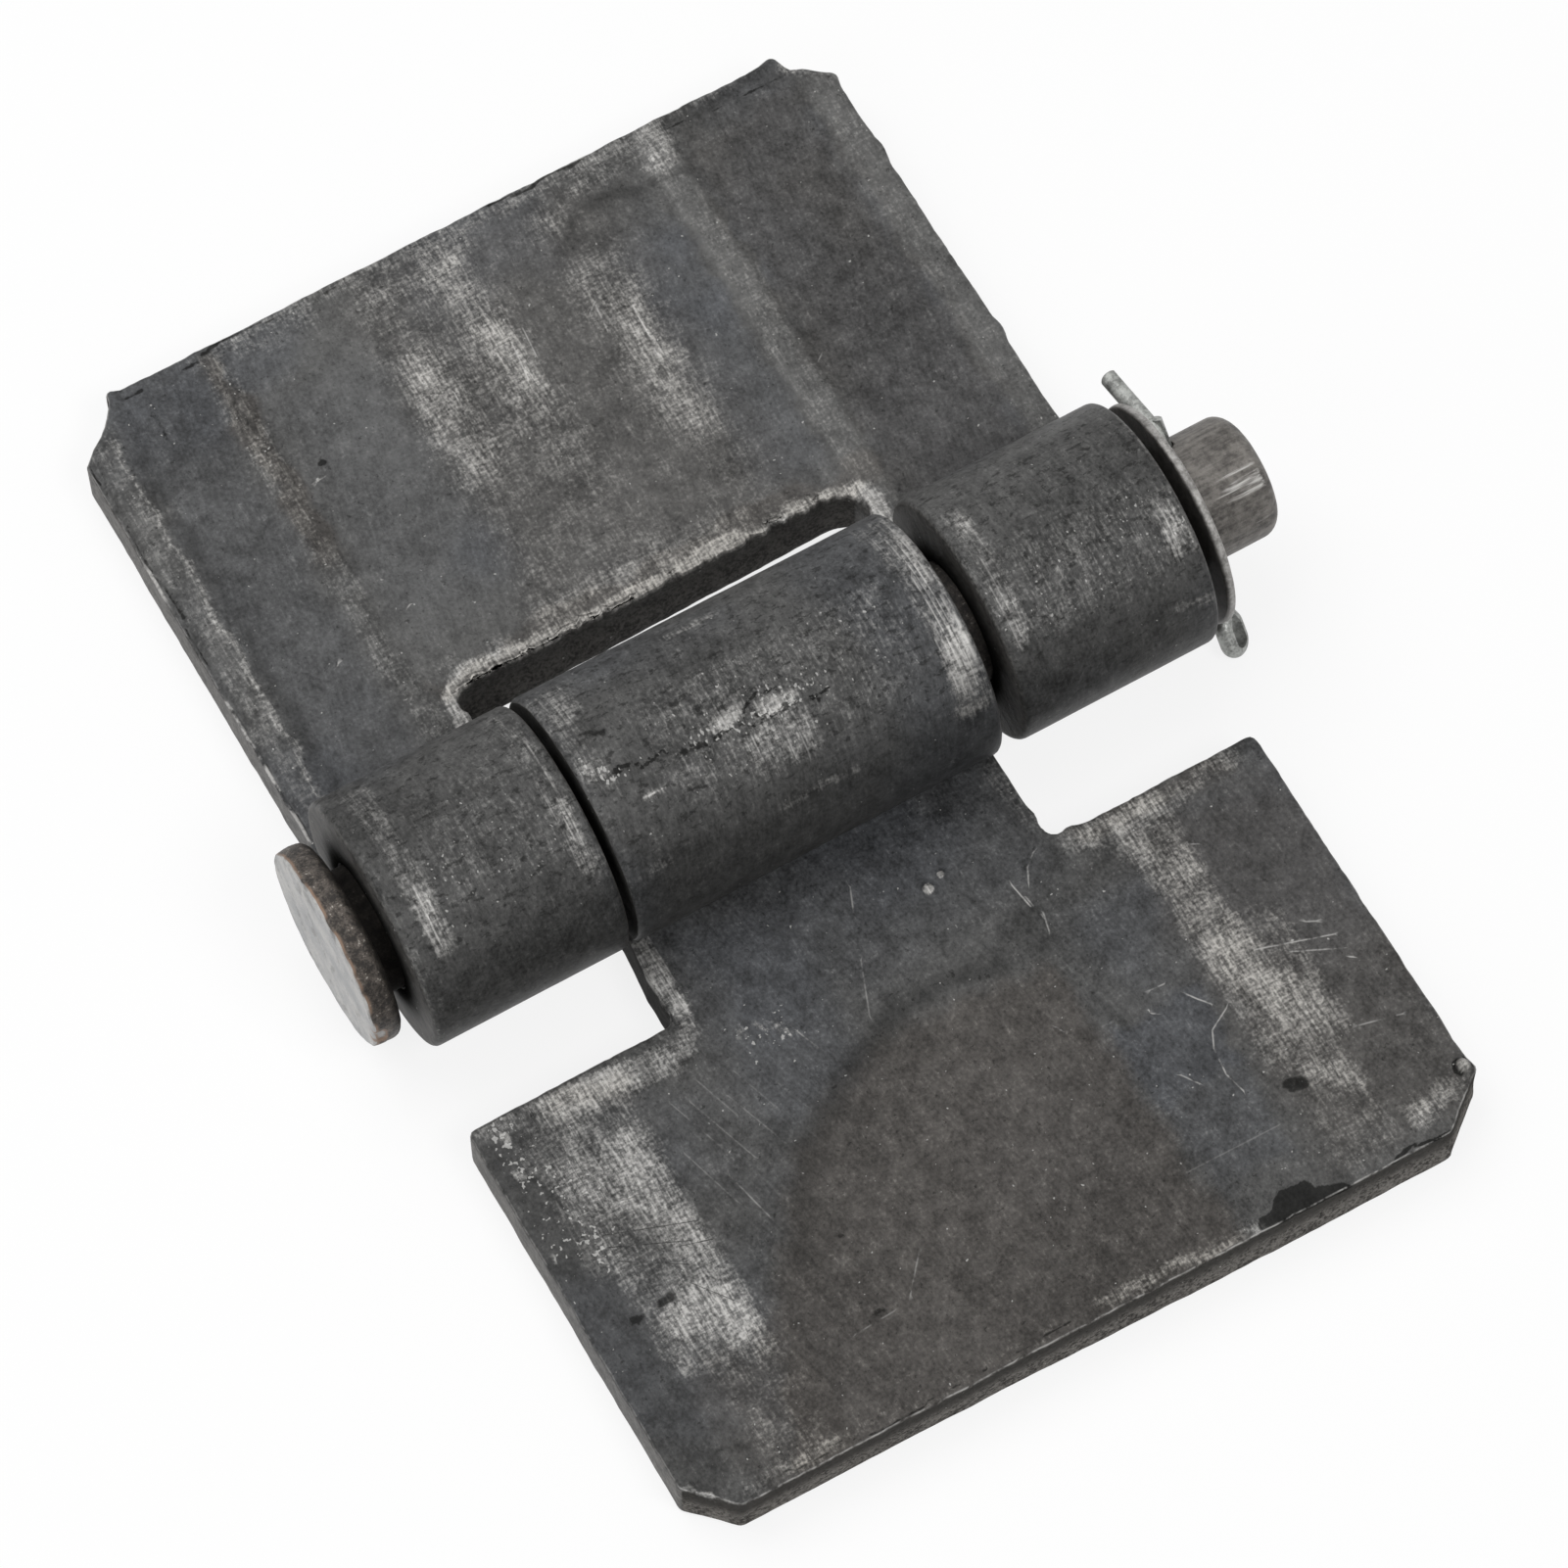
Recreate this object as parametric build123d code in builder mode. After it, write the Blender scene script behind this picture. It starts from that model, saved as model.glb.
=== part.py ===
"""Weld-on butt hinge: two rolled plate leaves on a headed pin, kept by a washer and a split pin.

X runs along the pin, Y from the swing leaf to the fixed leaf, Z up from the backs of the leaves.
The origin lies under the middle of the pin, on the hinge line, in the plane of the leaf backs.
"""
import math
import os

from build123d import *

# Leaves, millimetres
leaf_width = 80.0  # along the pin
leaf_reach = 61.4  # hinge line to the free edge
plate = 6.0  # thickness of the plate that both leaves are cut from
seam_gap = 0.3  # opening left where the rolled end comes back to the leaf
edge_break = 0.8  # bevel along the edges of the plate's outer skin
fixed_left_cut = 5.5  # corners of the free edges
fixed_right_cut = 4.3
swing_corner_cut = 4.0

# Slot of the fixed leaf, and the tongue that stands in it
left_knuckle = 19.5  # lengths of the outer knuckles
right_knuckle = 20.2
slot_gap = 6.8  # middle knuckle to the bottom of the slot
slot_left_round = 1.0
slot_right_round = 3.0
knuckle_gap_left = 0.75  # middle knuckle to its neighbour towards the pin's head
knuckle_gap_right = 2.25
shoulder_left_gap = 6.9  # outer knuckles to the shoulders beside the tongue
shoulder_right_gap = 8.2
shoulder_left_round = 1.0
shoulder_right_round = 2.2

# Pin
pin_diameter = 12.0
pin_clearance = 0.08  # radial, pin in the knuckles
head_diameter = 19.2
head_thickness = 3.0
head_face_round = 0.35
head_back_round = 1.1
head_gap = 1.8  # pin head to the first knuckle
tail_past_hole = 7.0  # middle of the cross hole to the tip
tail_round = 1.6

# Washer
washer_diameter = 22.0
washer_thickness = 0.9
washer_clearance = 0.5  # radial, washer on the pin
washer_lift = 0.05  # left between the pin's top and the bore of the hanging washer
washer_gap = 1.45  # last knuckle to the washer

# Split pin
wire_diameter = 1.8  # both half-round legs together
wire_clearance = 0.2  # radial, legs in the cross hole
wire_side_gap = 0.15  # washer to the legs
leg_gap = 0.1  # between the flats of the two legs
eye_opening = 1.6
eye_length = 4.6
eye_stand_off = 5.4  # pin's surface to the neck of the eye
flare_run = 1.4  # neck to the full width of the eye
flare_round = 0.8
eye_turn = 35.0  # degrees, plane of the eye turned about the legs
cotter_slope = 46.0  # degrees, legs above the horizontal
short_leg_out = 2.7  # straight leg past the pin's surface
bend_out = 0.5  # pin's surface to the start of the bent leg's bend
bend_inside = 1.1  # radius on the inner side of the bend
bend_angle = 66.0  # degrees
bent_leg_run = 6.9  # straight run past the bend

# Radii and reaches worked out from the sizes above
pin_radius = pin_diameter / 2
bore_radius = pin_radius + pin_clearance
knuckle_radius = bore_radius + plate
wire_radius = wire_diameter / 2
slot_reach = knuckle_radius + slot_gap
shoulder_left_reach = knuckle_radius + shoulder_left_gap
shoulder_right_reach = knuckle_radius + shoulder_right_gap
pin_tail = washer_gap + washer_thickness + wire_side_gap + wire_radius + tail_past_hole

# Stations along the pin
leaf_middle = (head_gap + head_thickness - pin_tail) / 2
leaf_left = leaf_middle - leaf_width / 2
leaf_right = leaf_middle + leaf_width / 2
slot_left = leaf_left + left_knuckle
slot_right = leaf_right - right_knuckle
tongue_left = slot_left + knuckle_gap_left
tongue_right = slot_right - knuckle_gap_right
swing_middle = (tongue_left + tongue_right) / 2
swing_left = swing_middle - leaf_width / 2
head_seat = leaf_left - head_gap
head_face = head_seat - head_thickness
washer_left = leaf_right + washer_gap
hole_x = washer_left + washer_thickness + wire_side_gap + wire_radius
pin_tip = hole_x + tail_past_hole

# Cuts run past the plate and the knuckles by a margin
cut_margin = plate
cut_height = 2 * knuckle_radius + 2 * cut_margin
cut_plane = Plane.XY.offset(-cut_margin)

pin_axis = Axis((0, 0, knuckle_radius), (1, 0, 0))

# Angles in degrees
full_turn = 360
half_turn = 180
roll_start = -90  # where the flat run of a leaf meets its roll
radius_tolerance = 1e-6


def rolled_section(start_x, side):
    """Section of a leaf: a flat run that rolls up round the pin and ends just above itself."""
    seam_angle = -math.degrees(math.asin((bore_radius - seam_gap) / knuckle_radius))
    roll = side * (seam_angle - full_turn - roll_start)
    with BuildSketch(Plane.YZ.offset(start_x)) as section:
        with BuildLine():
            outer = CenterArc((0, knuckle_radius), knuckle_radius, roll_start, roll)
            inner = CenterArc((0, knuckle_radius), bore_radius, roll_start, roll)
            Line(outer @ 1, inner @ 1)
            Polyline(outer @ 0, (side * leaf_reach, 0), (side * leaf_reach, plate), inner @ 0)
        make_face()
    return section.sketch


def is_knuckle_rim(edge):
    """True for the rim of a knuckle on the outer skin of the plate."""
    return math.isclose(edge.radius, knuckle_radius, rel_tol=radius_tolerance)


with BuildPart() as fixed_leaf:
    extrude(rolled_section(leaf_left, 1), amount=leaf_width)
    with BuildSketch(cut_plane) as slot:
        with Locations((slot_left, slot_reach)):
            slot_depth = slot_reach + knuckle_radius + cut_margin
            Rectangle(slot_right - slot_left, slot_depth, align=(Align.MIN, Align.MAX))
        fillet(slot.vertices().group_by(Axis.Y)[-1].sort_by(Axis.X)[0], radius=slot_left_round)
        fillet(slot.vertices().group_by(Axis.Y)[-1].sort_by(Axis.X)[-1], radius=slot_right_round)
    extrude(amount=cut_height, mode=Mode.SUBTRACT)
    for end, cut in ((0, fixed_left_cut), (-1, fixed_right_cut)):
        free_corners = fixed_leaf.edges().filter_by(Axis.Z).group_by(Axis.Y)[-1]
        chamfer(free_corners.sort_by(Axis.X)[end], length=cut)
    chamfer(fixed_leaf.edges().filter_by(GeomType.CIRCLE).filter_by(is_knuckle_rim), length=edge_break)

with BuildPart() as swing_leaf:
    extrude(rolled_section(swing_left, -1), amount=leaf_width)
    for tongue_x, reach, outward, corner_round in (
        (tongue_left, shoulder_left_reach, Align.MAX, shoulder_left_round),
        (tongue_right, shoulder_right_reach, Align.MIN, shoulder_right_round),
    ):
        with BuildSketch(cut_plane) as notch:
            with Locations((tongue_x, -reach)):
                Rectangle(leaf_width, reach + knuckle_radius + cut_margin, align=(outward, Align.MIN))
            inner_corner = notch.vertices().sort_by_distance((tongue_x, -reach, 0))[0]
            fillet(inner_corner, radius=corner_round)
        extrude(amount=cut_height, mode=Mode.SUBTRACT)
    chamfer(swing_leaf.edges().filter_by(Axis.Z).group_by(Axis.Y)[0], length=swing_corner_cut)
    chamfer(swing_leaf.edges().filter_by(GeomType.CIRCLE).filter_by(is_knuckle_rim), length=edge_break)

# Local frame of the split pin: legs run up and back, the eye hangs down in front
cross_centre = Vector(hole_x, 0, knuckle_radius)
leg_direction = Vector(0, 1, 0).rotate(Axis.X, cotter_slope)
split_direction = Vector(1, 0, 0).rotate(Axis((0, 0, 0), leg_direction), eye_turn)
eye_plane = Plane(cross_centre, x_dir=split_direction, z_dir=split_direction.cross(leg_direction))

with BuildPart() as hinge_pin:
    with BuildSketch(Plane.XZ) as turned_section:
        head_rim = knuckle_radius + head_diameter / 2
        shank_rim = knuckle_radius + pin_radius
        with BuildLine():
            Polyline(
                (head_face, knuckle_radius),
                (head_face, head_rim),
                (head_seat, head_rim),
                (head_seat, shank_rim),
                (pin_tip, shank_rim),
                (pin_tip, knuckle_radius),
                close=True,
            )
        make_face()
        fillet(turned_section.vertices().group_by(Axis.Y)[-1].sort_by(Axis.X)[0], radius=head_face_round)
        fillet(turned_section.vertices().group_by(Axis.Y)[-1].sort_by(Axis.X)[-1], radius=head_back_round)
        fillet(turned_section.vertices().sort_by_distance((pin_tip, shank_rim, 0))[0], radius=tail_round)
    revolve(axis=pin_axis)
    with BuildSketch(Plane(cross_centre, z_dir=leg_direction)):
        Circle(wire_radius + wire_clearance)
    extrude(amount=pin_diameter, both=True, mode=Mode.SUBTRACT)

with BuildPart() as washer:
    with BuildSketch(Plane.YZ.offset(washer_left)):
        with Locations((0, knuckle_radius - washer_clearance + washer_lift)):
            Circle(washer_diameter / 2)
            Circle(pin_radius + washer_clearance, mode=Mode.SUBTRACT)
    extrude(amount=washer_thickness)


def half_round(plane):
    """Section of one leg, its flat on the plane's Y axis and its round towards the plane's +X."""
    with BuildSketch(plane) as section:
        Circle(wire_radius)
        split(bisect_by=Plane.YZ)
    return section.sketch


with BuildPart() as cotter_pin:
    neck = -(pin_radius + eye_stand_off)
    eye_bottom = neck - eye_length + wire_radius + eye_opening / 2
    eye_side = eye_opening / 2
    flat = leg_gap / 2
    bend_start = pin_radius + bend_out
    with BuildLine(eye_plane) as loop:
        FilletPolyline(
            (flat, pin_radius + short_leg_out),
            (flat, neck),
            (eye_side, neck - flare_run),
            (eye_side, eye_bottom),
            radius=flare_round,
        )
        CenterArc((0, eye_bottom), eye_side, 0, -half_turn)
        FilletPolyline(
            (-eye_side, eye_bottom),
            (-eye_side, neck - flare_run),
            (-flat, neck),
            (-flat, bend_start),
            radius=flare_round,
        )
    loop_start = Plane(loop.line @ 0, x_dir=split_direction, z_dir=loop.line % 0)
    sweep(half_round(loop_start), path=loop.line)
    bend_plane = Plane(loop.line @ 1, x_dir=leg_direction, z_dir=(-1, 0, 0))
    with BuildLine(bend_plane) as bent_leg:
        bend = JernArc((0, 0), (1, 0), radius=bend_inside + wire_radius, arc_size=bend_angle)
        PolarLine(bend @ 1, bent_leg_run, direction=bend % 1)
    bend_section = Plane(loop.line @ 1, x_dir=-split_direction, z_dir=leg_direction)
    sweep(half_round(bend_section), path=bent_leg.line)

os.makedirs("parts", exist_ok=True)
fixed_leaf.part.label = "fixed_leaf"
export_step(fixed_leaf.part, "parts/fixed_leaf.step")
swing_leaf.part.label = "swing_leaf"
export_step(swing_leaf.part, "parts/swing_leaf.step")
hinge_pin.part.label = "hinge_pin"
export_step(hinge_pin.part, "parts/hinge_pin.step")
washer.part.label = "washer"
export_step(washer.part, "parts/washer.step")
cotter_pin.part.label = "cotter_pin"
export_step(cotter_pin.part, "parts/cotter_pin.step")
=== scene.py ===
"""Looks of a weld-on butt hinge: two rolled plate leaves, a headed pin, a washer and a split pin.

Lengths are in millimetres until a mesh is made. Each leaf is shaped as a flat blank, with x along the pin,
b from the hinge line towards the free edge and c up from the back, and is then rolled round the pin.
"""

import math
from collections import namedtuple

import bpy
import numpy as np
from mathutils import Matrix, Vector
from mathutils.geometry import delaunay_2d_cdt
from mathutils.kdtree import KDTree


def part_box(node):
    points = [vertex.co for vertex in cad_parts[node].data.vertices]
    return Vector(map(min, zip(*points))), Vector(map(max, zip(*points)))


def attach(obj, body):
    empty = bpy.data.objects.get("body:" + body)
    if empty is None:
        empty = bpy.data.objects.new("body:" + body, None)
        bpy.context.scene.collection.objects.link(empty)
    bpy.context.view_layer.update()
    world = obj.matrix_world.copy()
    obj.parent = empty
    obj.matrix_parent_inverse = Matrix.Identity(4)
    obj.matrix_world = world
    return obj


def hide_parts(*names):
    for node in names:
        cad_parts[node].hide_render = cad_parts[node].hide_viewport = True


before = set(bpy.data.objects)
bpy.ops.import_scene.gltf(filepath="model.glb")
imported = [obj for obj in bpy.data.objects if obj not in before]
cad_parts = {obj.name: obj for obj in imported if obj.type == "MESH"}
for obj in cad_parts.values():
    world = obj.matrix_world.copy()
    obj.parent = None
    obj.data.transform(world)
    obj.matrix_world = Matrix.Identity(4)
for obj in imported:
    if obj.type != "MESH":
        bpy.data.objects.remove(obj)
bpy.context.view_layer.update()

MM = 0.001


def box_mm(node):
    """Lowest and highest corner of a CAD node, in millimetres."""
    low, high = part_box(node)
    return np.array(low) / MM, np.array(high) / MM


fixed_low, fixed_high = box_mm("fixed_leaf")
swing_low, swing_high = box_mm("swing_leaf")
pin_low, pin_high = box_mm("hinge_pin")
washer_low, washer_high = box_mm("washer")

# Stations along the leaves are counted from mark_zero, a little right of the fixed leaf's middle
mark_offset = 3.125
mark_zero = (fixed_low[0] + fixed_high[0]) / 2 + mark_offset
fixed_left, fixed_right = fixed_low[0] - mark_zero, fixed_high[0] - mark_zero
swing_left, swing_right = swing_low[0] - mark_zero, swing_high[0] - mark_zero

# Leaf sizes that the boxes don't give
plate = 6.0
left_knuckle, right_knuckle = 19.5, 20.2
knuckle_gap_left, knuckle_gap_right = 0.75, 2.25
slot_left, slot_right = fixed_left + left_knuckle, fixed_right - right_knuckle
slot_reach = 18.88
slot_relief = 0.95  # the slot is this much wider to the left beside the flat of the leaf
slot_lean = 0.35  # the slot's far wall leans in towards its foot
slot_lean_left = 0.75  # and leans this much more at its left end
tongue_left, tongue_right = slot_left + knuckle_gap_left, slot_right - knuckle_gap_right
shoulder_left_reach, shoulder_right_reach = 18.98, 20.28
fixed_left_cut, fixed_right_cut = 5.5, 4.3
swing_corner_cut = 4.0
swing_long_cut = 0.9  # the right corner's cut is this much longer along the front
tongue_flare = 0.5  # the tongue is this much wider to the left beside the shoulder
swing_skew = 0.5  # the free edges run a little out of square
fixed_skew = 0.25
seam_gap = 0.3
corner_round = 0.8  # in plan, at most corners
side_ease = 3.0  # in plan, where a side steps outwards

knuckle_radius = fixed_high[2] / 2
bore_radius = knuckle_radius - plate
neutral_radius = knuckle_radius - plate / 2
leaf_reach = fixed_high[1]
roll_turn = math.radians(270) + math.asin((bore_radius - seam_gap) / knuckle_radius)
roll_length = neutral_radius * roll_turn

# Mesh spacing and the rounded edges of the plate
spacing = 0.52
slot_spacing = 0.24
back_round = 0.6
top_round = 0.3
round_steps = 4
wall_steps = 9
scratch_step = 0.3
scratch_half_width = 0.11
crack_row = 0.16
lump_step = 0.2
lump_reach = 7
mesh_gap = 0.6 * spacing  # kept clear round outlines and fine points
tear_depth = 1.6  # how far down the wall a torn rim reaches
lean_top, lean_foot = 4.6, 1.2  # heights between which a wall leans

Corner = namedtuple("Corner", "x b radius", defaults=(corner_round,))
Nick = namedtuple("Nick", "x b radius push")  # pushes the outline out, or in where negative
Lump = namedtuple("Lump", "x b radius rise")  # raises the top skin
Area = namedtuple("Area", "left right near far side end amount")  # a field with soft sides and ends
Stroke = namedtuple("Stroke", "x b to_x to_b width amount")  # a soft line on a skin
# A fine line, bright, or dark where negative, and half as wide as its last value
Scratch = namedtuple("Scratch", "x b to_x to_b amount half", defaults=(scratch_half_width,))


def many(kind, *values):
    """Marks of one kind, one from each row of values."""
    return tuple(kind(*row) for row in values)


def marked(*values):
    """Areas from the rows that have a value for each of their seven fields, and strokes from the others."""
    return tuple((Area if len(row) == len(Area._fields) else Stroke)(*row) for row in values)


def smooth(value, low, high):
    """0 at low, 1 at high, eased in between."""
    t = np.clip((value - low) / (high - low), 0.0, 1.0)
    return t * t * (3 - 2 * t)


def lattice(ix, iy, seed):
    """A repeatable value from 0 to 1 for each whole-numbered place."""
    n = ix.astype(np.int64) * 374761393 + iy.astype(np.int64) * 668265263 + seed * 974711
    n = (n ^ (n >> 13)) * 1274126177
    return ((n ^ (n >> 16)) & 0xFFFF) / 0xFFFF


def noise(u, v, size, seed, octaves=3):
    """Smooth noise from -1 to 1 whose largest features are about size across."""
    total, weight, full = 0.0, 1.0, 0.0
    for octave in range(octaves):
        x, y = u / size * 2**octave, v / size * 2**octave
        ix, iy = np.floor(x), np.floor(y)
        fx, fy = smooth(x - ix, 0, 1), smooth(y - iy, 0, 1)
        near = lattice(ix, iy, seed + octave) * (1 - fx) + lattice(ix + 1, iy, seed + octave) * fx
        far = lattice(ix, iy + 1, seed + octave) * (1 - fx) + lattice(ix + 1, iy + 1, seed + octave) * fx
        total = total + weight * (near * (1 - fy) + far * fy - 0.5) * 2
        full += weight
        weight /= 2
    return total / full


def segment_gap(x, b, line):
    """Distance from each place to a straight line between two points."""
    run_x, run_b = line.to_x - line.x, line.to_b - line.b
    along = ((x - line.x) * run_x + (b - line.b) * run_b) / (run_x**2 + run_b**2)
    along = np.clip(along, 0, 1)
    return np.hypot(x - line.x - along * run_x, b - line.b - along * run_b)


def field(marks, x, b, seed, warp):
    """How strongly soft areas and strokes cover each place, with wavering outlines."""
    wx = x + warp * noise(x, b, 3.0, seed)
    wb = b + 1.5 * warp * noise(x, b, 3.0, seed + 7)
    total = np.zeros_like(x)
    for mark in marks:
        if isinstance(mark, Stroke):
            cover = np.exp(-((segment_gap(wx, wb, mark) / mark.width) ** 3))
        else:
            cover = smooth(wx - mark.left, -mark.side, mark.side)
            cover *= smooth(mark.right - wx, -mark.side, mark.side)
            cover *= smooth(wb - mark.near, -mark.end, mark.end) * smooth(mark.far - wb, -mark.end, mark.end)
        total = total + mark.amount * cover
    return total


def rounded_outline(corners):
    """Points round a closed outline whose corners are arcs of their own radius."""
    points = []
    count = len(corners)
    for i, corner in enumerate(corners):
        here = np.array([corner.x, corner.b])
        before = np.array(corners[i - 1][:2]) - here
        after = np.array(corners[(i + 1) % count][:2]) - here
        before /= np.linalg.norm(before)
        after /= np.linalg.norm(after)
        half = math.acos(np.clip(before @ after, -1, 1)) / 2
        centre = here + (before + after) / np.linalg.norm(before + after) * corner.radius / math.sin(half)
        start = here + before * corner.radius / math.tan(half) - centre
        end = here + after * corner.radius / math.tan(half) - centre
        turn = math.atan2(start[0] * end[1] - start[1] * end[0], start @ end)
        steps = max(3, round(abs(turn) * corner.radius / spacing))
        for k in range(steps + 1):
            a = turn * k / steps
            cos, sin = math.cos(a), math.sin(a)
            points.append(centre + [start[0] * cos - start[1] * sin, start[0] * sin + start[1] * cos])
    filled = []
    for here, there in zip(points, points[1:] + points[:1]):
        middle = (here + there) / 2
        step = slot_spacing if near_slot(middle[0], middle[1]) > 0.5 else spacing
        steps = max(1, round(np.linalg.norm(there - here) / step))
        filled += [here + (there - here) * k / steps for k in range(steps)]
    return np.array(filled)


def outward(loop):
    """Unit normals of an anticlockwise loop, pointing away from what it holds."""
    along = np.roll(loop, -1, 0) - np.roll(loop, 1, 0)
    normal = np.stack([along[:, 1], -along[:, 0]], 1)
    return normal / np.linalg.norm(normal, axis=1, keepdims=True)


def inside(points, loop):
    """True for the points that lie within a loop."""
    found = np.zeros(len(points), bool)
    for (ax, ay), (bx, by) in zip(loop, np.roll(loop, -1, 0)):
        if ay != by:
            crosses = (ay > points[:, 1]) != (by > points[:, 1])
            found ^= crosses & (points[:, 0] < (bx - ax) * (points[:, 1] - ay) / (by - ay) + ax)
    return found


def distance_to(loop, points):
    """Distance from each point to the nearest point of a loop."""
    tree = KDTree(len(loop))
    for i, (x, b) in enumerate(loop):
        tree.insert((x, b, 0), i)
    tree.balance()
    return np.array([tree.find((x, b, 0))[2] for x, b in points])


def quarter(steps):
    """Sine and cosine of the angles through a right angle."""
    angles = [math.radians(90) * k / steps for k in range(steps + 1)]
    return [(math.sin(a), math.cos(a)) for a in angles]


def edge_profile():
    """Inset and height of each ring round the plate's edge, from the back skin to the top skin."""
    bends = quarter(round_steps)
    profile = [(back_round * (1 - sin), back_round * (1 - cos)) for sin, cos in bends]
    wall = plate - back_round - top_round
    profile += [(0.0, back_round + wall * k / wall_steps) for k in range(1, wall_steps)]
    profile += [(top_round * (1 - cos), plate - top_round * (1 - sin)) for sin, cos in bends]
    # Both skins start from the same inner loop
    profile[-1] = (back_round, plate)
    profile.insert(-1, (top_round, plate))
    return profile


def blank(loop, normals, bites, lean, fine):
    """Flat plate within a loop: its vertices (x, b, c), their outward directions on the walls, and its faces.

    Bites tear the loop's top rim back, lean pushes the foot of the wall out, and fine holds added places.
    """
    rings = []
    for inset, height in edge_profile():
        torn = bites * smooth(height, plate - tear_depth, plate - 0.1)
        torn = torn - lean * smooth(height, lean_top, lean_foot)
        ring = loop - normals * (inset + torn)[:, None]
        rings.append(np.column_stack([ring, np.full(len(ring), height)]))
    inner = rings[0][:, :2]
    low, high = inner.min(0), inner.max(0)
    row = spacing * math.sqrt(3) / 2
    columns = np.arange(low[0], high[0], spacing)
    rows = np.arange(low[1], high[1], row)
    gx, gb = np.meshgrid(columns, rows)
    gx = gx + (np.arange(len(rows)) % 2)[:, None] * spacing / 2
    grid = np.column_stack([gx.ravel(), gb.ravel()])
    grid = np.vstack([fine, grid[distance_to(fine, grid) > mesh_gap]])
    grid = grid[inside(grid, inner)]
    grid = grid[distance_to(np.vstack([inner, rings[-1][:, :2]]), grid) > mesh_gap]
    count = len(loop)
    around = [(i, (i + 1) % count) for i in range(count)]
    skin = triangles(np.vstack([inner, grid]), around)
    # Vertices: the rings in order, then the back skin's grid, then the top skin's
    grid_back = np.column_stack([grid, np.zeros(len(grid))])
    grid_top = np.column_stack([grid, np.full(len(grid), plate)])
    vertices = np.vstack(rings + [grid_back, grid_top])
    ring_total = count * len(rings)
    back_ids = np.concatenate([np.arange(count), ring_total + np.arange(len(grid))])
    top_ids = np.concatenate([
        ring_total - count + np.arange(count),
        ring_total + len(grid) + np.arange(len(grid)),
    ])
    faces = [tuple(f) for f in back_ids[skin][:, ::-1]] + [tuple(f) for f in top_ids[skin]]
    for k in range(len(rings) - 1):
        for i, j in around:
            faces.append((k * count + i, k * count + j, (k + 1) * count + j, (k + 1) * count + i))
    facing = np.zeros((len(vertices), 2))
    facing[:ring_total] = np.tile(normals, (len(rings), 1))
    return vertices, facing, faces


def scratch_points(scratch):
    """Points along a scratch and on both sides of it, so that the mesh can follow it."""
    start, end = np.array([scratch.x, scratch.b]), np.array([scratch.to_x, scratch.to_b])
    length = np.linalg.norm(end - start)
    steps = max(1, round(length / scratch_step))
    middle = start + (end - start) * (np.arange(steps + 1) / steps)[:, None]
    sideways = np.array([start[1] - end[1], end[0] - start[0]]) / length
    rows = max(1, round(scratch.half / crack_row))
    return np.vstack([middle + sideways * scratch.half * k / rows for k in range(-rows, rows + 1)])


def on_roll(scratch, side):
    """A knuckle's scratch, given by its distance round from the top, on the blank before rolling."""
    near, far = (-neutral_radius * (math.pi + side * r / knuckle_radius) for r in (scratch.b, scratch.to_b))
    return scratch._replace(b=near, to_b=far)


def lump_points(lump):
    """Points over a lump, close enough to show its shape."""
    steps = np.arange(-lump_reach, lump_reach + 1) * lump_step
    across, along = np.meshgrid(steps, steps)
    points = np.column_stack([across.ravel(), along.ravel()])
    points = points[np.hypot(points[:, 0], points[:, 1]) < 1.3 * lump.radius]
    return points + [lump.x, lump.b]


def triangles(places, around):
    """Triangles that fill an outline, which the first of the places run round."""
    count = len(around)
    made = delaunay_2d_cdt([Vector(p) for p in places], around, [list(range(count))], 1, 1e-6)
    source = [ids[0] for ids in made[3]]
    skin = np.array([[source[i] for i in face] for face in made[2]])
    a, b, c = (places[skin[:, k]] for k in range(3))
    area = (b[:, 0] - a[:, 0]) * (c[:, 1] - a[:, 1]) - (b[:, 1] - a[:, 1]) * (c[:, 0] - a[:, 0])
    skin[area < 0] = skin[area < 0][:, ::-1]
    return skin


def rolled(flat, side):
    """Places of a blank's points once its end is rolled up round the pin."""
    x, b, c = flat.T
    turn = np.maximum(-b, 0) / neutral_radius
    radius = knuckle_radius - c
    y = np.where(b >= 0, side * b, -side * radius * np.sin(turn))
    z = np.where(b >= 0, c, knuckle_radius - radius * np.cos(turn))
    return np.column_stack([x, y, z])


def make_mesh(name, points, faces, values, material):
    """A smooth-shaded object with per-vertex values, from points in millimetres."""
    mesh = bpy.data.meshes.new(name)
    mesh.from_pydata((points * MM).tolist(), [], faces)
    for key, data in values.items():
        kind = "FLOAT_VECTOR" if data.ndim == 2 else "FLOAT"
        attribute = mesh.attributes.new(key, kind, "POINT")
        attribute.data.foreach_set("vector" if data.ndim == 2 else "value", data.astype(np.float32).ravel())
    mesh.shade_smooth()
    mesh.materials.append(material)
    made = bpy.data.objects.new(name, mesh)
    bpy.context.scene.collection.objects.link(made)
    return made


def put(tree, socket, value):
    """Link an output to a socket, or give the socket a plain value."""
    if isinstance(value, bpy.types.NodeSocket):
        tree.links.new(value, socket)
    else:
        socket.default_value = value


def add_node(tree, kind, inputs, **settings):
    """A new shader node, with its settings made and its inputs filled."""
    node = tree.nodes.new("ShaderNode" + kind)
    for key, value in settings.items():
        setattr(node, key, value)
    for key, value in inputs.items():
        put(tree, node.inputs[key], value)
    return node


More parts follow.
